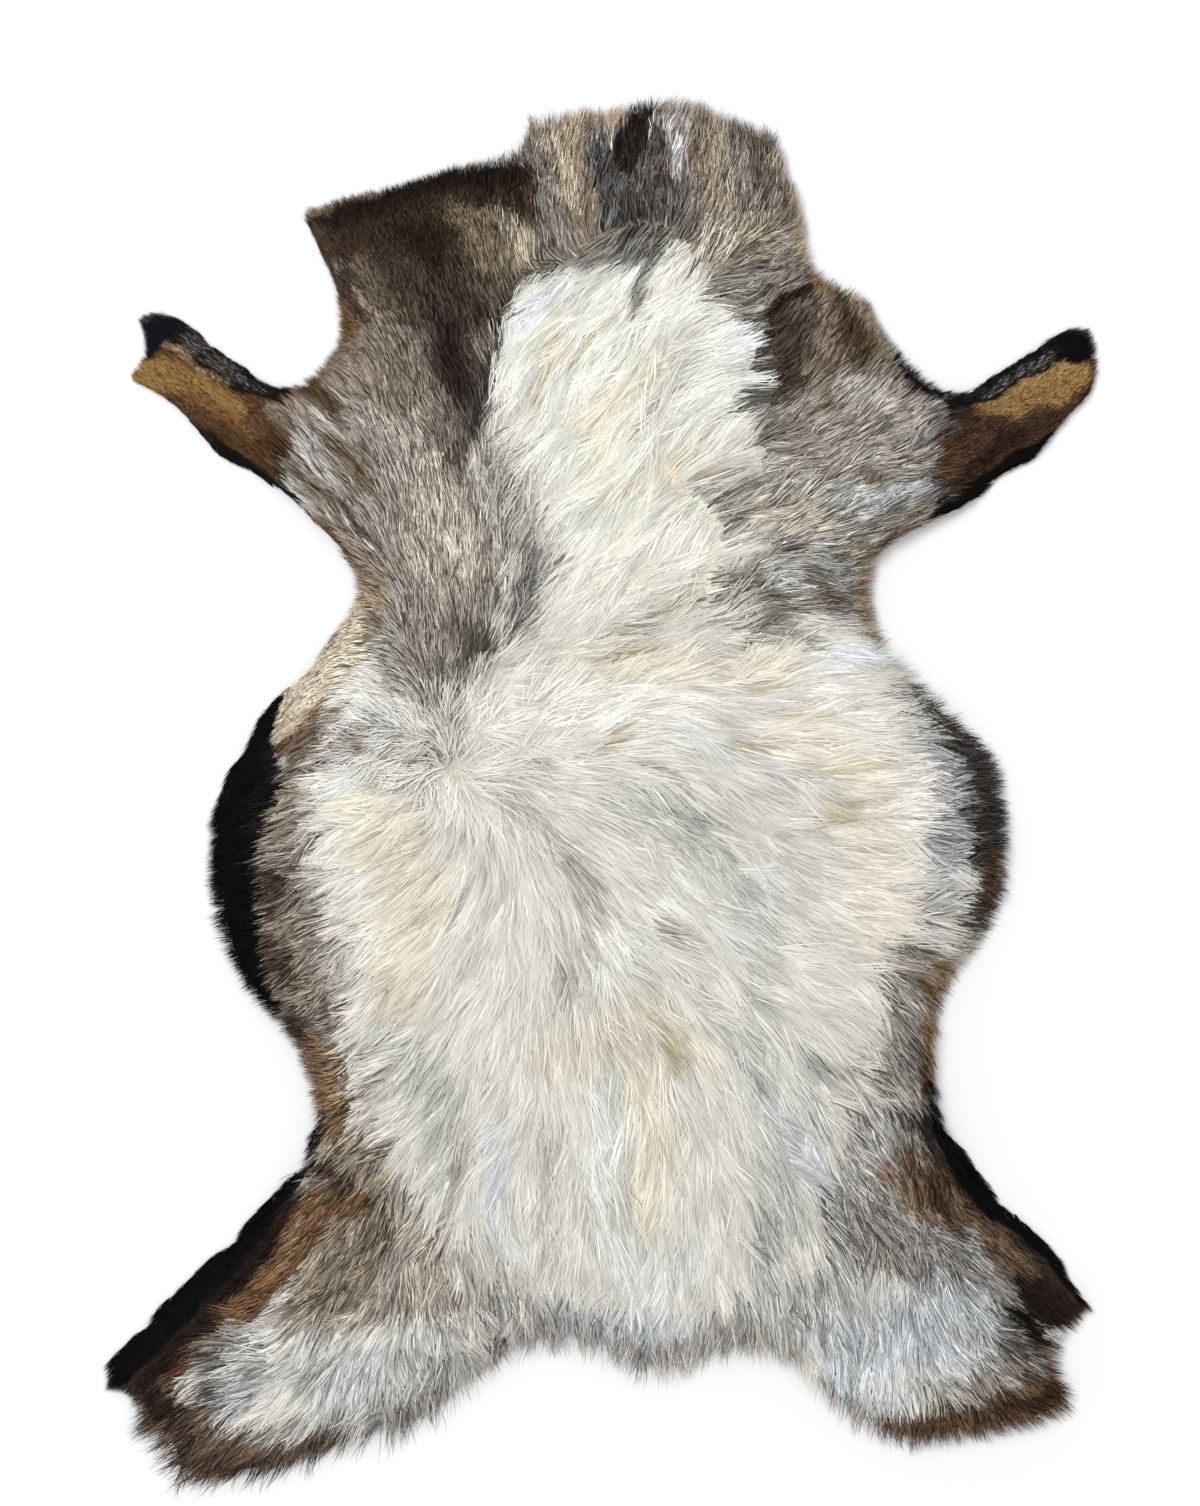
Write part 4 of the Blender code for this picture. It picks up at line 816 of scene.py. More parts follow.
# the matted underwool between the strands: duller, with streaks that run with the lay in each small lock
def mattedUnderwool():
    strandWidth, strandLength, lockWidth = 0.0011, 0.011, 0.011
    material, tree, shader = newMaterial("mattedUnderwool")
    dye = addNode(tree, "ShaderNodeAttribute", attribute_name="wool")
    lie = addNode(tree, "ShaderNodeAttribute", attribute_name="lay")
    place = addNode(tree, "ShaderNodeTexCoord").outputs["Object"]
    cell = addNode(tree, "ShaderNodeTexVoronoi", {"Vector": place, "Scale": 1 / lockWidth})
    away = addNode(tree, "ShaderNodeVectorMath", {0: place, 1: cell.outputs["Position"]},
                   operation="SUBTRACT")
    across = addNode(tree, "ShaderNodeVectorMath", {0: (0.0, 0.0, 1.0), 1: lie.outputs["Vector"]},
                     operation="CROSS_PRODUCT")
    u = addNode(tree, "ShaderNodeVectorMath", {0: away.outputs[0], 1: across.outputs[0]},
                operation="DOT_PRODUCT")
    v = addNode(tree, "ShaderNodeVectorMath", {0: away.outputs[0], 1: lie.outputs["Vector"]},
                operation="DOT_PRODUCT")
    wide = addNode(tree, "ShaderNodeMath", {0: u.outputs["Value"], 1: strandWidth}, operation="DIVIDE")
    far = addNode(tree, "ShaderNodeMath", {0: v.outputs["Value"], 1: strandLength}, operation="DIVIDE")
    turn = addNode(tree, "ShaderNodeVectorMath", {0: cell.outputs["Color"], "Scale": 40.0},
                   operation="SCALE")
    grid = addNode(tree, "ShaderNodeCombineXYZ", {"X": wide.outputs[0], "Y": far.outputs[0]})
    shifted = addNode(tree, "ShaderNodeVectorMath", {0: grid.outputs[0], 1: turn.outputs[0]},
                      operation="ADD")
    streaks = addNode(tree, "ShaderNodeTexNoise", {"Vector": shifted.outputs[0], "Scale": 1.0, "Detail": 2.0,
                                                   "Roughness": 0.6})
    tone = addNode(tree, "ShaderNodeMapRange", {"Value": streaks.outputs["Fac"], **noiseRange,
                                                "To Min": 0.82, "To Max": 1.0})
    shaded = addNode(tree, "ShaderNodeVectorMath",
                     {0: dye.outputs["Color"], "Scale": tone.outputs["Result"]}, operation="SCALE")
    bump = addNode(tree, "ShaderNodeBump", {"Height": streaks.outputs["Fac"], "Strength": 0.5,
                                            "Distance": strandWidth})
    tree.links.new(shaded.outputs["Vector"], shader.inputs["Base Color"])
    tree.links.new(bump.outputs["Normal"], shader.inputs["Normal"])
    shader.inputs["Roughness"].default_value = 0.9
    shader.inputs["Specular IOR Level"].default_value = 0.06
    shader.inputs["Sheen Weight"].default_value = 0.01
    return material


# lambskin tanned white and buffed on its flesh side: a blotched suede nap; the nap is about 0.1 mm fine and
# is drawn coarser, or it wouldn't show
def buffedSuede():
    material, tree, shader = newMaterial("buffedSuede")
    blotchWidth, napWidth, napHeight = 0.06, 0.0012, 0.0006
    place = addNode(tree, "ShaderNodeTexCoord").outputs["Object"]
    blotches = addNode(tree, "ShaderNodeTexNoise",
                       {"Vector": place, "Scale": 1 / blotchWidth, "Detail": 4.0})
    tints = addNode(tree, "ShaderNodeValToRGB", {"Fac": blotches.outputs["Fac"]})
    tints.color_ramp.elements[0].position = 0.3
    tints.color_ramp.elements[0].color = (*linear("#d9c9ab"), 1)
    tints.color_ramp.elements[1].position = 0.7
    tints.color_ramp.elements[1].color = (*linear("#ede3cf"), 1)
    nap = addNode(tree, "ShaderNodeTexNoise", {"Vector": place, "Scale": 1 / napWidth, "Detail": 2.0})
    bump = addNode(tree, "ShaderNodeBump", {"Height": nap.outputs["Fac"], "Strength": 0.35,
                                            "Distance": napHeight})
    tree.links.new(tints.outputs["Color"], shader.inputs["Base Color"])
    tree.links.new(bump.outputs["Normal"], shader.inputs["Normal"])
    shader.inputs["Roughness"].default_value = 0.95
    shader.inputs["Specular IOR Level"].default_value = 0.15
    shader.inputs["Sheen Weight"].default_value = 0.2
    return material


woolFinish, underwoolFinish, suedeFinish = combedWool(), mattedUnderwool(), buffedSuede()
print("materials made")

slab = {
    "lockTipHeight": 0.0012,     # the CAD locks end at this height
    "leatherTop": 0.0018,
    "gap": 0.0003,
    "underwool": 0.84,           # height of the underwool against that of the wool's tips
}


# the CAD slab without the pointed locks round its rim, with the holes that they leave closed
def slabWithoutLocks():
    mesh = bmesh.new()
    mesh.from_mesh(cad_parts["lambskin"].data)
    bmesh.ops.remove_doubles(mesh, verts=mesh.verts, dist=1e-6)
    tips = [v for v in mesh.verts if abs(v.co.z - slab["lockTipHeight"]) < 2e-5]
    rings = {edge.other_vert(tip) for tip in tips for edge in tip.link_edges}
    bmesh.ops.delete(mesh, geom=[*tips, *rings], context="VERTS")
    bmesh.ops.holes_fill(mesh, edges=mesh.edges, sides=4)
    bmesh.ops.triangulate(mesh, faces=mesh.faces)
    bmesh.ops.recalc_face_normals(mesh, faces=mesh.faces)
    return mesh


def newObject(name, mesh, material):
    data = bpy.data.meshes.new(name)
    mesh.to_mesh(data)
    mesh.free()
    data.materials.append(material)
    data.shade_smooth()
    made = bpy.data.objects.new(name, data)
    bpy.context.scene.collection.objects.link(made)
    return made


def makeSkin():
    mesh = slabWithoutLocks()
    upper = [face for face in mesh.faces if any(v.co.z > 1e-5 for v in face.verts)]
    bmesh.ops.delete(mesh, geom=upper, context="FACES")
    top = bmesh.ops.extrude_face_region(mesh, geom=mesh.faces[:])["geom"]
    bmesh.ops.translate(mesh, verts=[v for v in top if isinstance(v, bmesh.types.BMVert)],
                        vec=(0, 0, slab["leatherTop"]))
    bmesh.ops.recalc_face_normals(mesh, faces=mesh.faces)
    return newObject("skin", mesh, suedeFinish)


def makeUnderwool():
    mesh = slabWithoutLocks()
    floor = slab["leatherTop"] + slab["gap"]
    for v in mesh.verts:
        if v.co.z < 1e-5:
            v.co.z = floor
        elif v.co.z < floor:
            v.co.z = floor + slab["gap"]
        else:
            v.co.z = max(v.co.z * slab["underwool"], floor + 2 * slab["gap"])
    above = [edge for edge in mesh.edges if min(v.co.z for v in edge.verts) > floor + 1e-4]
    bmesh.ops.subdivide_edges(mesh, edges=above, cuts=1, use_grid_fill=True, smooth=0.3)
    bmesh.ops.triangulate(mesh, faces=mesh.faces)
    made = newObject("underwool", mesh, underwoolFinish)
    places = np.zeros(len(made.data.vertices) * 3, np.float32)
    made.data.vertices.foreach_get("co", places)
    points = toPixels(places.reshape(-1, 3)[:, :2])
    # painted shade: the underwool's colour is darkened by the length of the wool over it
    paintedShade = np.interp(coatAt(points)[:, 0], mixing["lengths"], mixing["paintedShadeShares"])
    # painted warm light: the underwool's colour is tinted warm
    shaded = coloursAt(points)[0] * mixing["shade"] * paintedShade[:, None]
    colours = np.column_stack([shaded, np.ones(len(points))])
    lies = np.column_stack([layAt(points), np.zeros(len(points))])
    made.data.attributes.new("wool", "FLOAT_COLOR", "POINT").data.foreach_set("color", flat(colours))
    made.data.attributes.new("lay", "FLOAT_VECTOR", "POINT").data.foreach_set("vector", flat(lies))
    return made


def flat(values):
    return np.asarray(values, np.float32).ravel()


skin = makeSkin()
underwool = makeUnderwool()
print("skin and underwool made:", len(skin.data.polygons), len(underwool.data.polygons))

# where short hair stands dense past the leather: across, down, reach in pixels, and how far in millimetres
overhang = (
    # left hind leg
    (298, 1136, 26, 6.5), (260, 1190, 50, 10.0), (180, 1270, 60, 9.0), (115, 1340, 36, 7.0),
    # belly band
    (240, 690, 50, 7.5), (205, 780, 50, 6.0), (200, 880, 60, 3.5),
    # left waist
    (320, 620, 34, 4.0),
    # left foreleg, top
    (150, 310, 22, 5.0), (185, 330, 28, 5.0), (230, 365, 28, 4.0),
    # left foreleg, low
    (240, 480, 40, 3.0),
    # left foreleg, end
    (130, 370, 16, 3.0),
    # left shoulder
    (330, 540, 34, 3.0),
    # cheek, top
    (400, 170, 70, 3.0),
    # cheek, left
    (310, 250, 34, 3.5),
    # ginger hip
    (300, 1050, 30, 2.0),
    # right foreleg, top
    (1000, 360, 34, 4.0), (1060, 325, 34, 4.5),
    # right foreleg, low
    (1000, 480, 40, 3.0),
    # right hind leg
    (945, 1090, 30, 4.5), (990, 1150, 45, 7.5), (1050, 1220, 50, 7.5), (1088, 1270, 24, 5.0),
    # right flank
    (1000, 740, 50, 4.5), (1015, 850, 50, 3.0),
)


# height and slope of the underwool on a fine grid, read by every strand; under zero means beside the skin
ground = {
    "step": 0.0015,
    "margin": 0.02,          # how far the grid reaches past the CAD box
    "rootMargin": 0.012,     # and how far strands are tried past it
    "blur": 5,
    "overhang": 0.0021,      # root height of the hair beside the leather
    "plateau": 1.6,          # over one, so that this hair keeps its full reach in the middle of a spot
    "steps": 8,              # how many steps from the leather are looked at
}


# how far hair may be rooted beside the leather at these points, in metres
def overhangAt(points):
    reach = np.zeros(len(points))
    for across, down, radius, past in overhang:
        away = np.linalg.norm(points - (across, down), axis=1) / radius
        reach = np.maximum(reach, past * np.minimum(1, ground["plateau"] * np.exp(-away**2)))
    return reach / 1000


def readGround():
    data = underwool.data
    tree = BVHTree.FromPolygons([v.co[:] for v in data.vertices], [p.vertices[:] for p in data.polygons])
    across = np.arange(cadBox[0].x - ground["margin"], cadBox[1].x + ground["margin"], ground["step"])
    upward = np.arange(cadBox[0].y - ground["margin"], cadBox[1].y + ground["margin"], ground["step"])
    down = Vector((0, 0, -1))
    heights = np.full((len(upward), len(across)), -1.0)
    for j, y in enumerate(upward):
        for i, x in enumerate(across):
            hit = tree.ray_cast((x, y, 0.2), down)[0]
            if hit:
                heights[j, i] = hit.z
    return across[0], upward[0], heights


def blurred(values, size):
    kernel = np.hanning(2 * size + 3)[1:-1]
    kernel /= kernel.sum()
    for axis in (0, 1):
        values = np.apply_along_axis(lambda line: np.convolve(line, kernel, mode="same"), axis, values)
    return values


# strands may also be rooted beside the leather, as the hair that hides its edge
def withOverhang(firstX, firstY, heights):
    rows, columns = np.nonzero(heights < 0)
    places = np.column_stack([firstX + columns * ground["step"], firstY + rows * ground["step"]])
    allowed = np.full(heights.shape, -1.0)
    allowed[rows, columns] = overhangAt(toPixels(places))
    steps = ground["steps"]
    covered = np.pad(heights > 0, steps)
    nearest = np.full(heights.shape, 1.0)
    for down in range(-steps, steps + 1):
        for right in range(-steps, steps + 1):
            beside = covered[steps + down : steps + down + heights.shape[0],
                             steps + right : steps + right + heights.shape[1]]
            away = math.hypot(down, right) * ground["step"]
            nearest = np.where(beside, np.minimum(nearest, away), nearest)
    return np.where(nearest < allowed, ground["overhang"], heights)


firstX, firstY, heightGrid = readGround()
heightGrid = withOverhang(firstX, firstY, heightGrid)
coverShare = np.maximum(blurred((heightGrid > 0).astype(float), ground["blur"]), 0.05)
smoothGrid = blurred(np.maximum(heightGrid, 0), ground["blur"]) / coverShare
slopeY, slopeX = np.gradient(smoothGrid, ground["step"])
print("ground read:", heightGrid.shape)


def cellsOf(places):
    i = np.clip(np.rint((places[:, 0] - firstX) / ground["step"]).astype(int), 0, heightGrid.shape[1] - 1)
    j = np.clip(np.rint((places[:, 1] - firstY) / ground["step"]).astype(int), 0, heightGrid.shape[0] - 1)
    return j, i


def heightsAt(places):
    return heightGrid[cellsOf(places)]


def slopesAt(places):
    cells = cellsOf(places)
    return unit(np.column_stack([-slopeX[cells], -slopeY[cells], np.ones(len(places))]))


# rows of a triangular grid, each place moved a little by chance
def jitteredGrid(spacing, stray, chance):
    past = ground["rootMargin"]
    rows = np.arange(cadBox[0].y - past, cadBox[1].y + past, spacing * math.sqrt(0.75))
    places = []
    for i, y in enumerate(rows):
        across = np.arange(cadBox[0].x - past + (i % 2) * spacing / 2, cadBox[1].x + past, spacing)
        places.append(np.column_stack([across, np.full(len(across), y)]))
    places = np.concatenate(places)
    return places + chance.uniform(-stray, stray, places.shape) * spacing


# the wool hangs together in locks, and the locks in tufts
class Bunches:
    def __init__(self, spacing, turn, tone, seed):
        chance = np.random.default_rng(seed)
        self.spacing = spacing
        self.centres = jitteredGrid(spacing, 0.35, chance)
        count = len(self.centres)
        self.turns = np.radians(chance.normal(0, turn, count))
        self.tones = chance.normal(0, tone, count)
        self.lifts = chance.uniform(0.55, 0.95, count)
        self.lots = chance.random(count)
        self.phases = chance.uniform(0, math.tau, count)
        self.finder = kdtree.KDTree(count)
        for number, (x, y) in enumerate(self.centres):
            self.finder.insert((x, y, 0), number)
        self.finder.balance()

    def nearest(self, places):
        return np.array([self.finder.find((x, y, 0))[1] for x, y in places], int)


locks = Bunches(spacing=0.012, turn=13.0, tone=0.04, seed=71)
tufts = Bunches(spacing=0.034, turn=11.0, tone=0.035, seed=72)

# three kinds of coat; a kind covers the places whose strands have a length in its range, girth is half the
# width of a strand at its root, and the bands divide its strands into pieces, in pixels down the photograph
strands = {
    "long": {"shortest": 0.0275, "longest": 1.0, "spacing": 0.00245, "girth": 0.00064, "rings": 4,
             "lift": 0.4, "bands": (0, 640, 880, 1130, 1506)},
    "medium": {"shortest": 0.013, "longest": 0.0275, "spacing": 0.00175, "girth": 0.00050, "rings": 3,
               "lift": 1.0, "bands": (0, 500, 1506)},
    "short": {"shortest": 0.0, "longest": 0.013, "spacing": 0.00086, "girth": 0.00034, "rings": 2,
              "lift": 1.0, "bands": (0, 480, 1506)},
}
loose = {
    "stray": 0.45,              # how far a root strays from its place in the grid, as a share of the spacing
    "turn": 6.0,                # how much single strands turn from their lock, in degrees
    "ruffle": 0.4,              # how much more they turn where the wool is ruffled
    "pull": 0.45,               # how far the tips of a lock draw together
    "combedLength": 0.035,      # from this length on a strand goes all the way with its lock
    "combedLeast": 0.12,        # and the shortest hair goes this share of the way
    "uneven": 0.28,             # how much the strands differ in length
    "past": (0.3, 1.25),        # how much they differ in their reach past the leather
    "outer": 0.6,               # girth of the strands that leave the leather, against the others
    "ahead": 0.8,               # a strand bends to the lay at this share of its length
    "onwardTurn": 0.7,          # and turns there by this share of its first turn
    "lockReach": 0.6,           # how far from its middle a lock's sides are, as a share of the spacing
    "dyedAt": 0.6,              # the share of its length at which a strand takes its colour
    "tone": 1.35,               # how much they differ in tone, against the spread of their marking
    "markedFrom": 0.2,          # and more still where the marking's spread is over this
    "markedMost": 0.1,
    "darkest": 0.25,
    "lightest": 1.7,
    "streaks": 1.15,            # strength of the streaks along a strand, against that spread
    "leastStreaks": 0.03,
    "tipOnFloor": 0.0012,
    "tipOverUnderwool": 0.0016,
    "lockShade": 0.08,          # painted shade: how much darker the sides of a lock are painted than its crest
    "softness": 0.85,           # share of the lock's roundness in the way a strand takes the light
    "seed": 7,
}


def strandRoots(kind, chance):
    places = jitteredGrid(kind["spacing"], loose["stray"], chance)
    places = places[heightsAt(places) > 0]
    sizes = coatAt(toPixels(places))
    chosen = (sizes[:, 0] >= kind["shortest"]) & (sizes[:, 0] < kind["longest"])
    return places[chosen], sizes[chosen]


# the share of its length at which a strand leaves the skin, or 2 if it doesn't
def leavingShare(places, first, onward, length):
    share = np.full(len(places), 2.0)
    for s in (1.0, 0.85, 0.7, 0.55, 0.4, 0.25, 0.12, 0.05):
        path = places + (first * (s - s * s / 2) + onward * s * s / 2) * length[:, None]
        share[heightsAt(path) < 0] = s
    return share


# all that one kind of strand needs, one value for each strand: the tree and the materials read them by name
def strandFacts(kind, chance):
    places, sizes = strandRoots(kind, chance)
    count = len(places)
    points = toPixels(places)
    length, lift, wave, past = sizes.T
    combed = np.clip(length / loose["combedLength"], loose["combedLeast"], 1)
    lock, tuft = locks.nearest(places), tufts.nearest(places)
    bunchTurn = (locks.turns[lock] + tufts.turns[tuft]) * combed
    bunchTurn += ruffleAt(points) * np.sin(locks.phases[lock])
    turn = bunchTurn + np.radians(chance.normal(0, loose["turn"], count)) * (0.5 + 0.5 * combed)
    turn += ruffleAt(points) * chance.normal(0, loose["ruffle"], count)
    length = length * (1 + chance.uniform(-loose["uneven"], loose["uneven"], count))
    sides = chance.uniform(-1, 1, count)
    first = layAt(points, sides)
    ahead = toPixels(places + first * length[:, None] * loose["ahead"])
    onward = layAt(ahead, sides)
    onward *= np.where((onward * first).sum(axis=1) < 0, -1, 1)[:, None]
    first, onward = rotated(first, turn), rotated(onward, turn * loose["onwardTurn"])

    leaving = leavingShare(places, first, onward, length)
    most = length * leaving + past * chance.uniform(*loose["past"], count)
    full = length.copy()
    length = np.minimum(length, most)
    painted = toPixels(places + (first + onward) / 2 * length[:, None] * loose["dyedAt"])
    colours, spreads = coloursAt(painted, chance, locks.lots[lock])
    spreads = spreads * loose["tone"] + (spreads - loose["markedFrom"]).clip(0, loose["markedMost"])

    tips = places + (first + onward) / 2 * length[:, None]
    root = heightsAt(places)
    tip = heightsAt(tips)
    landed = np.where(tip > 0, tip + loose["tipOverUnderwool"], loose["tipOnFloor"])
    side = rotated(first, np.full(count, math.pi / 2))
    toCentre = locks.centres[lock] - places
    beside = (toCentre * side).sum(axis=1)
    leaning = beside / locks.spacing * combed
    edge = np.clip(np.linalg.norm(toCentre, axis=1) / (locks.spacing * loose["lockReach"]), 0, 1) ** 2
    factor = 1 + spreads * chance.normal(0, 1, count)
    factor += (locks.tones[lock] + tufts.tones[tuft]) * (0.4 + 0.6 * combed) * (1 + 3 * spreads)
    # painted shade: strands at the sides of a lock are darkened
    factor -= loose["lockShade"] * edge * combed
    factor = np.clip(factor, loose["darkest"], loose["lightest"])
    # painted shade: the colour is darkened by the strand's length
    factor = factor * np.interp(sizes[:, 0], mixing["lengths"], mixing["paintedShadeShares"])
    colours = np.clip(colours * factor[:, None], 0, 0.95)
    return {
        "places": np.column_stack([places, root]),
        "first": np.column_stack([first, np.zeros(count)]),
        "onward": np.column_stack([onward, np.zeros(count)]),
        "reach": length,
        "girth": (kind["girth"] * chance.uniform(0.75, 1.25, count)
                  * np.where(leaving <= 1, loose["outer"], 1.0)),
        "rise": (kind["lift"] * lift * locks.lifts[lock] * (1.25 - 0.6 * edge)
                 * chance.uniform(0.75, 1.25, count) * length / full),
        "fall": landed - root,
        "pull": beside * loose["pull"] * combed,
        "wave": wave * chance.uniform(0.3, 1.3, count),
        "roll": np.clip(chance.normal(0, 0.4, count) - leaning, -1.1, 1.1),
        "swing": locks.phases[lock] + chance.normal(0, 0.5, count),
        "uneven": spreads * loose["streaks"] + loose["leastStreaks"],
        "wool": np.column_stack([colours, np.ones(count)]),
        "facing": slopesAt(places) - np.column_stack([side, np.zeros(count)]) * leaning[:, None],
    }


# the tree puts a narrow pointed blade on each root and bends it: along the lay, up, down to where it
# lands, towards the middle of its lock and from side to side
def strandTree():
    tree = bpy.data.node_groups.new("strands", "GeometryNodeTree")
    tree.interface.new_socket("Geometry", in_out="OUTPUT", socket_type="NodeSocketGeometry")
    tree.interface.new_socket("Geometry", in_out="INPUT", socket_type="NodeSocketGeometry")
    for name, kind in (("Rings", "Int"), ("Fullness", "Float"), ("Waves", "Float"), ("Droop", "Float"),
                       ("Wool", "Material")):
        tree.interface.new_socket(name, in_out="INPUT", socket_type="NodeSocket" + kind)
    given = addNode(tree, "NodeGroupInput").outputs
    rows = addNode(tree, "ShaderNodeMath", {0: given["Rings"], 1: 1.0}, operation="ADD").outputs[0]
    grid = addNode(tree, "GeometryNodeMeshGrid",
                   {"Size X": 2.0, "Size Y": 1.0, "Vertices X": 2, "Vertices Y": rows})
    place = addNode(tree, "GeometryNodeInputPosition").outputs["Position"]
    corner = addNode(tree, "ShaderNodeSeparateXYZ", {0: place}).outputs
    height = addNode(tree, "ShaderNodeMath", {0: corner["Y"], 1: 0.5}, operation="ADD").outputs[0]
    narrowing = addNode(tree, "ShaderNodeMath", {0: 1.0, 1: height}, operation="SUBTRACT").outputs[0]
    halfWidth = addNode(tree, "ShaderNodeMath", {0: corner["X"], 1: narrowing}, operation="MULTIPLY")
    blade = addNode(tree, "ShaderNodeCombineXYZ", {"X": halfWidth.outputs[0], "Y": 0.0, "Z": height})
    tapered = addNode(tree, "GeometryNodeSetPosition",
                      {"Geometry": grid.outputs["Mesh"], "Position": blade.outputs[0]})
    pointed = addNode(tree, "GeometryNodeMergeByDistance",
                      {"Geometry": tapered.outputs[0], "Distance": 0.0001})
    upright = addNode(tree, "GeometryNodeFlipFaces", {"Mesh": pointed.outputs["Geometry"]})
    shape = addNode(tree, "GeometryNodeStoreNamedAttribute",
                    {"Geometry": upright.outputs["Mesh"], "Name": "local", "Value": place},
                    data_type="FLOAT_VECTOR", domain="POINT")
    copies = addNode(tree, "GeometryNodeInstanceOnPoints",
                     {"Points": given["Geometry"], "Instance": shape.outputs["Geometry"]})
    real = addNode(tree, "GeometryNodeRealizeInstances", {"Geometry": copies.outputs["Instances"]})

    found = {"place": place, "Fullness": given["Fullness"], "Waves": given["Waves"], "Droop": given["Droop"]}
    for name, kind in (("local", "FLOAT_VECTOR"), ("first", "FLOAT_VECTOR"), ("onward", "FLOAT_VECTOR"),
                       ("reach", "FLOAT"), ("girth", "FLOAT"), ("rise", "FLOAT"), ("fall", "FLOAT"),
                       ("pull", "FLOAT"), ("wave", "FLOAT"), ("swing", "FLOAT"), ("roll", "FLOAT")):
        stored = addNode(tree, "GeometryNodeInputNamedAttribute", {"Name": name}, data_type=kind)
        found[name] = stored.outputs[0]
    parts = addNode(tree, "ShaderNodeSeparateXYZ", {0: found["local"]}).outputs
    found["x"], found["t"] = parts["X"], parts["Z"]
    steps = (
        # result, node, operation, inputs: a word is a result found before it
        ("squared", "Math", "MULTIPLY", "t", "t"),
        ("late", "Math", "MULTIPLY", "squared", 0.5),
        ("early", "Math", "SUBTRACT", "t", "late"),
        ("setOut", "VectorMath", "MULTIPLY", "first", "early"),
        ("turned", "VectorMath", "MULTIPLY", "onward", "late"),
        ("towards", "VectorMath", "ADD", "setOut", "turned"),
        ("forward", "VectorMath", "MULTIPLY", "towards", "reach"),
        ("fuller", "Math", "MULTIPLY_ADD", "t", "Fullness", 1.0),
        ("thick", "Math", "MULTIPLY", "girth", "fuller"),
        ("width", "Math", "MULTIPLY", "x", "thick"),
        ("level", "Math", "COSINE", "roll"),
        ("steep", "Math", "SINE", "roll"),
        ("phase", "Math", "MULTIPLY_ADD", "t", "Waves", "swing"),
        ("swinging", "Math", "SINE", "phase"),
        ("growing", "Math", "MULTIPLY", "swinging", "t"),
        ("waving", "Math", "MULTIPLY", "growing", "wave"),
        ("gathered", "Math", "MULTIPLY", "t", 1.6),
        ("closing", "Math", "MULTIPLY_ADD", "squared", -0.6, "gathered"),
        ("bowed", "Math", "MULTIPLY_ADD", "pull", "closing", "waving"),
        ("sideways", "Math", "MULTIPLY_ADD", "width", "level", "bowed"),
        ("arching", "Math", "SUBTRACT", "t", "squared"),
        ("arched", "Math", "MULTIPLY", "arching", 4.0),
        ("drooping", "Math", "POWER", "t", "Droop"),
        ("fallen", "Math", "MULTIPLY", "fall", "drooping"),
        ("raised", "Math", "MULTIPLY_ADD", "rise", "arched", "fallen"),
        ("upwards", "Math", "MULTIPLY_ADD", "width", "steep", "raised"),
        ("side", "VectorMath", "CROSS_PRODUCT", (0.0, 0.0, 1.0), "first"),
        ("aside", "VectorMath", "MULTIPLY", "side", "sideways"),
        ("above", "VectorMath", "MULTIPLY", (0.0, 0.0, 1.0), "upwards"),
        ("root", "VectorMath", "SUBTRACT", "place", "local"),
        ("gone", "VectorMath", "ADD", "root", "forward"),
        ("swung", "VectorMath", "ADD", "gone", "aside"),
        ("bent", "VectorMath", "ADD", "swung", "above"),
    )
    for result, kind, operation, *inputs in steps:
        sockets = {i: found[value] if isinstance(value, str) else value for i, value in enumerate(inputs)}
        found[result] = addNode(tree, "ShaderNode" + kind, sockets, operation=operation).outputs[0]
    moved = addNode(tree, "GeometryNodeSetPosition",
                    {"Geometry": real.outputs["Geometry"], "Position": found["bent"]})
    smooth = addNode(tree, "GeometryNodeSetShadeSmooth", {"Geometry": moved.outputs["Geometry"]})
    dressed = addNode(tree, "GeometryNodeSetMaterial",
                      {"Geometry": smooth.outputs["Geometry"], "Material": given["Wool"]})
    addNode(tree, "NodeGroupOutput", {"Geometry": dressed.outputs["Geometry"]})
    return tree


strandsTree = strandTree()
strandInputs = {"Fullness": 0.9, "Waves": 5.0, "Droop": 1.5, "Wool": woolFinish}


def vectorsOf(source, name, count):
    values = np.zeros(count * 3, np.float32)
    source.foreach_get(name, values)
    return values.reshape(-1, 3)


# one small cell of the map for each strand, its length upwards, with a margin round it
def bakeMap(mesh, local, strand, count):
    halfWidth, start, tall = 0.35, 0.08, 0.84
    across = math.ceil(math.sqrt(count))
    loops = np.zeros(len(mesh.loops), np.int32)
    mesh.loops.foreach_get("vertex_index", loops)
    local, strand = local[loops], strand[loops]
    u = (strand % across + 0.5 + halfWidth * local[:, 0]) / across
    v = (strand // across + start + tall * local[:, 2]) / across
    mesh.uv_layers.new(name="OFBake").data.foreach_set("uv", flat(np.column_stack([u, v])))


# a lock takes the light as one round roll, so most of a strand's own roundness gives way to its lock's
def roundAsLocks(mesh, local, strand, facts):
    crest, bow, roundness = 0.35, 0.7, 0.5      # where a strand is highest, how far it bows, how round it is
    own = vectorsOf(mesh.vertex_normals, "vector", len(mesh.vertices))
    along = facts["first"][strand]
    side = np.column_stack([-along[:, 1], along[:, 0], np.zeros(len(along))])
    shared = facts["facing"][strand] + along * ((local[:, 2] - crest) * bow)[:, None]
    shared += side * (local[:, 0] * roundness)[:, None]
    mixed = unit(unit(shared) * loose["softness"] + own * (1 - loose["softness"]))
    mesh.normals_split_custom_set_from_vertices(mixed)


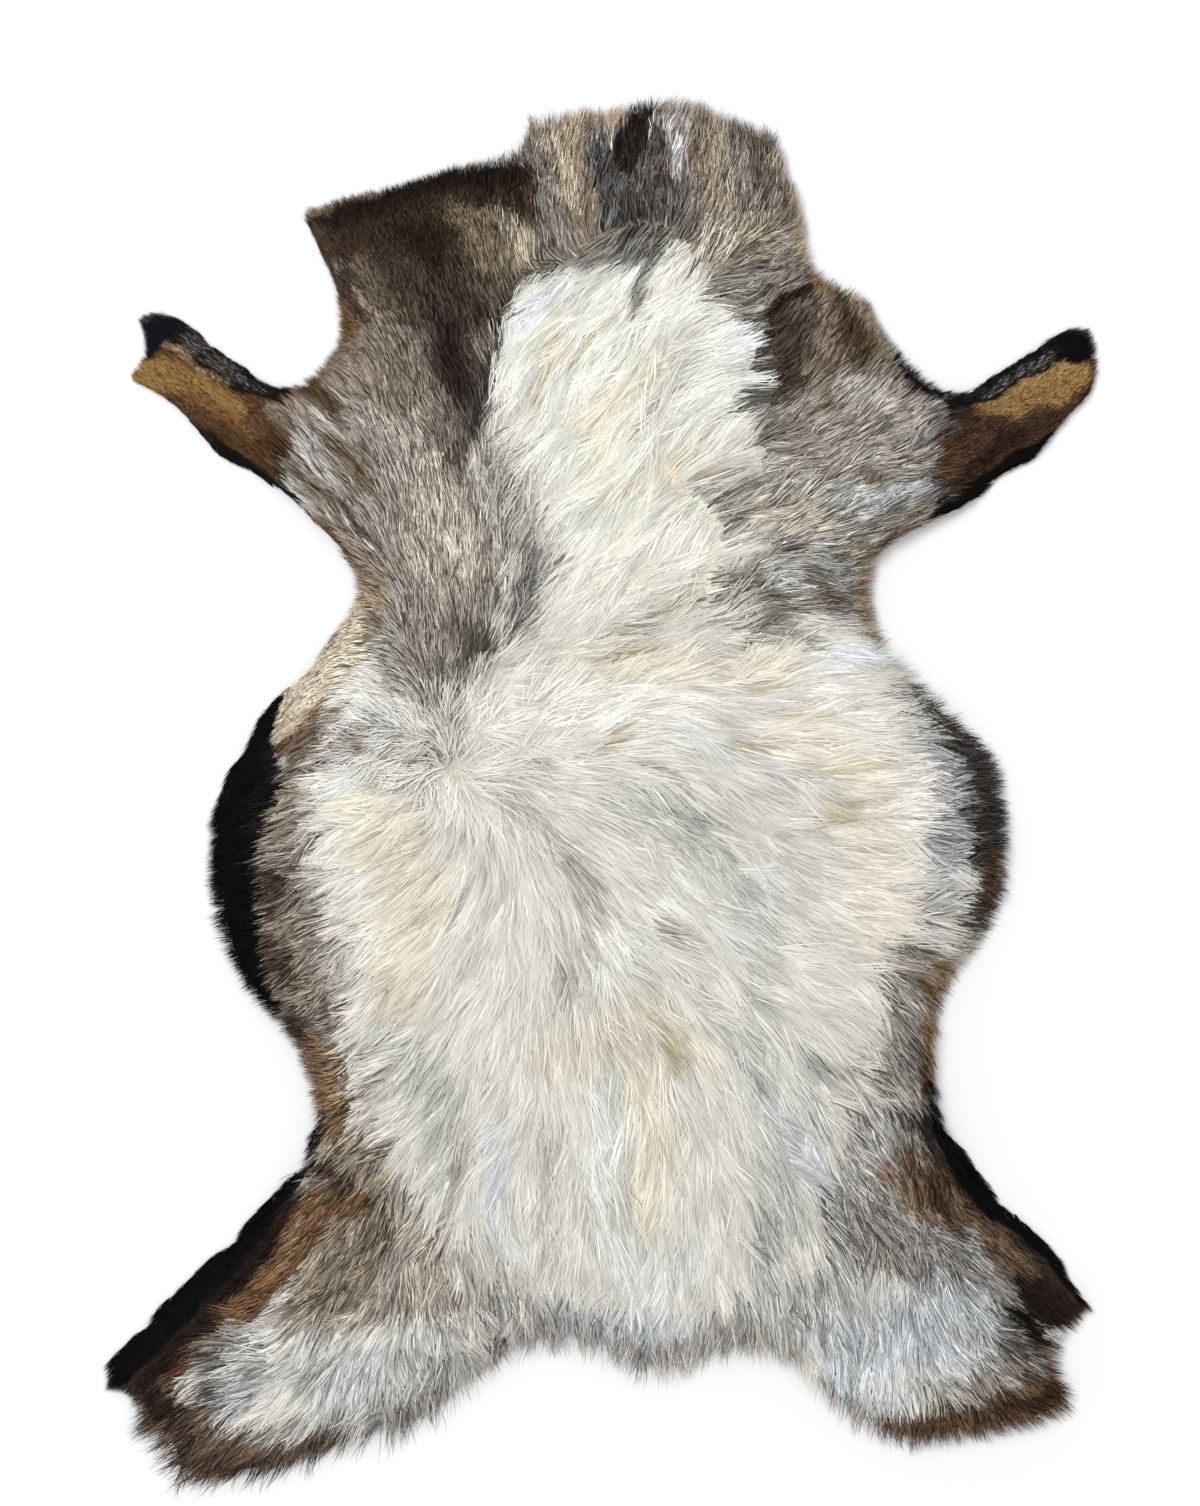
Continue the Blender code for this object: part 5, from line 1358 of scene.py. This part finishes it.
def makeStrands(name, kind, facts):
    points = bpy.data.meshes.new(name)
    count = len(facts["places"])
    points.vertices.add(count)
    points.vertices.foreach_set("co", flat(facts["places"]))
    for fact, values in facts.items():
        if fact == "wool":
            points.attributes.new(fact, "FLOAT_COLOR", "POINT").data.foreach_set("color", flat(values))
        elif fact in ("first", "onward"):
            points.attributes.new(fact, "FLOAT_VECTOR", "POINT").data.foreach_set("vector", flat(values))
        elif values.ndim == 1:
            points.attributes.new(fact, "FLOAT", "POINT").data.foreach_set("value", flat(values))
    grower = bpy.data.objects.new(name + "Roots", points)
    bpy.context.scene.collection.objects.link(grower)
    modifier = grower.modifiers.new("strands", "NODES")
    modifier.node_group = strandsTree
    settings = {**strandInputs, "Rings": kind["rings"]}
    for socket in strandsTree.interface.items_tree:
        if socket.in_out == "INPUT" and socket.name in settings:
            modifier[socket.identifier] = settings[socket.name]
    grown = bpy.data.meshes.new_from_object(grower.evaluated_get(bpy.context.evaluated_depsgraph_get()))
    grown.name = name
    bpy.data.objects.remove(grower)
    local = vectorsOf(grown.attributes["local"].data, "vector", len(grown.vertices))
    strand = np.arange(len(grown.vertices)) // (2 * kind["rings"] + 1)
    bakeMap(grown, local, strand, count)
    roundAsLocks(grown, local, strand, facts)
    made = bpy.data.objects.new(name, grown)
    bpy.context.scene.collection.objects.link(made)
    return made


wool = []
for number, (kindName, kind) in enumerate(strands.items()):
    facts = strandFacts(kind, np.random.default_rng(loose["seed"] + number))
    down = toPixels(facts["places"][:, :2])[:, 1]
    for band, (start, end) in enumerate(zip(kind["bands"], kind["bands"][1:])):
        chosen = (down >= start) & (down < end)
        banded = {fact: values[chosen] for fact, values in facts.items()}
        piece = makeStrands(f"{kindName}Wool{band + 1}", kind, banded)
        piece.visible_shadow = kindName != "long"       # light passes through long fine wool
        wool.append(piece)
        triangles = len(piece.data.loops) - 2 * len(piece.data.polygons)
        print(piece.name, "strands:", int(chosen.sum()), "triangles:", triangles)

stage = {
    "lens": 120.0,
    "sensor": 36.0,
    "floorSize": 8.0,
    "keyPlace": (-3.0, 2.6, 5.2),
    "keySize": 2.6,
    "keyPower": 330.0,
    "skyStrength": 1.07,
}


def makeStage():
    scene = bpy.context.scene
    scene.view_settings.view_transform = "Standard"
    middle = toFrame((photo["width"] / 2, photo["height"] / 2))
    viewHeight = photo["height"] * photo["mmPerPixel"] / 1000
    camera = bpy.data.cameras.new("camera")
    camera.lens = stage["lens"]
    camera.sensor_fit = "VERTICAL"
    camera.sensor_height = stage["sensor"]
    eye = bpy.data.objects.new("camera", camera)
    eye.location = (middle[0], middle[1], viewHeight * stage["lens"] / stage["sensor"])
    scene.collection.objects.link(eye)
    scene.camera = eye

    bpy.ops.mesh.primitive_plane_add(size=stage["floorSize"])
    floor = bpy.context.object
    floor.name = "floor"
    paper, _, shader = newMaterial("whitePaper")
    shader.inputs["Base Color"].default_value = (*linear("#d2d2d2"), 1)
    shader.inputs["Roughness"].default_value = 1.0
    shader.inputs["Specular IOR Level"].default_value = 0.0
    floor.data.materials.append(paper)

    lamp = bpy.data.lights.new("key", "AREA")
    lamp.size = stage["keySize"]
    lamp.energy = stage["keyPower"]
    key = bpy.data.objects.new("key", lamp)
    key.location = stage["keyPlace"]
    key.rotation_euler = (-Vector(stage["keyPlace"])).to_track_quat("-Z", "Y").to_euler()
    scene.collection.objects.link(key)

    world = bpy.data.worlds.new("studio")
    scene.world = world
    world.use_nodes = True
    sky = world.node_tree.nodes["Background"]
    sky.inputs["Color"].default_value = (1, 1, 1, 1)
    sky.inputs["Strength"].default_value = stage["skyStrength"]


makeStage()
print("stage made")

for piece in (skin, underwool, *wool):
    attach(piece, "root")
    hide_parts("lambskin")
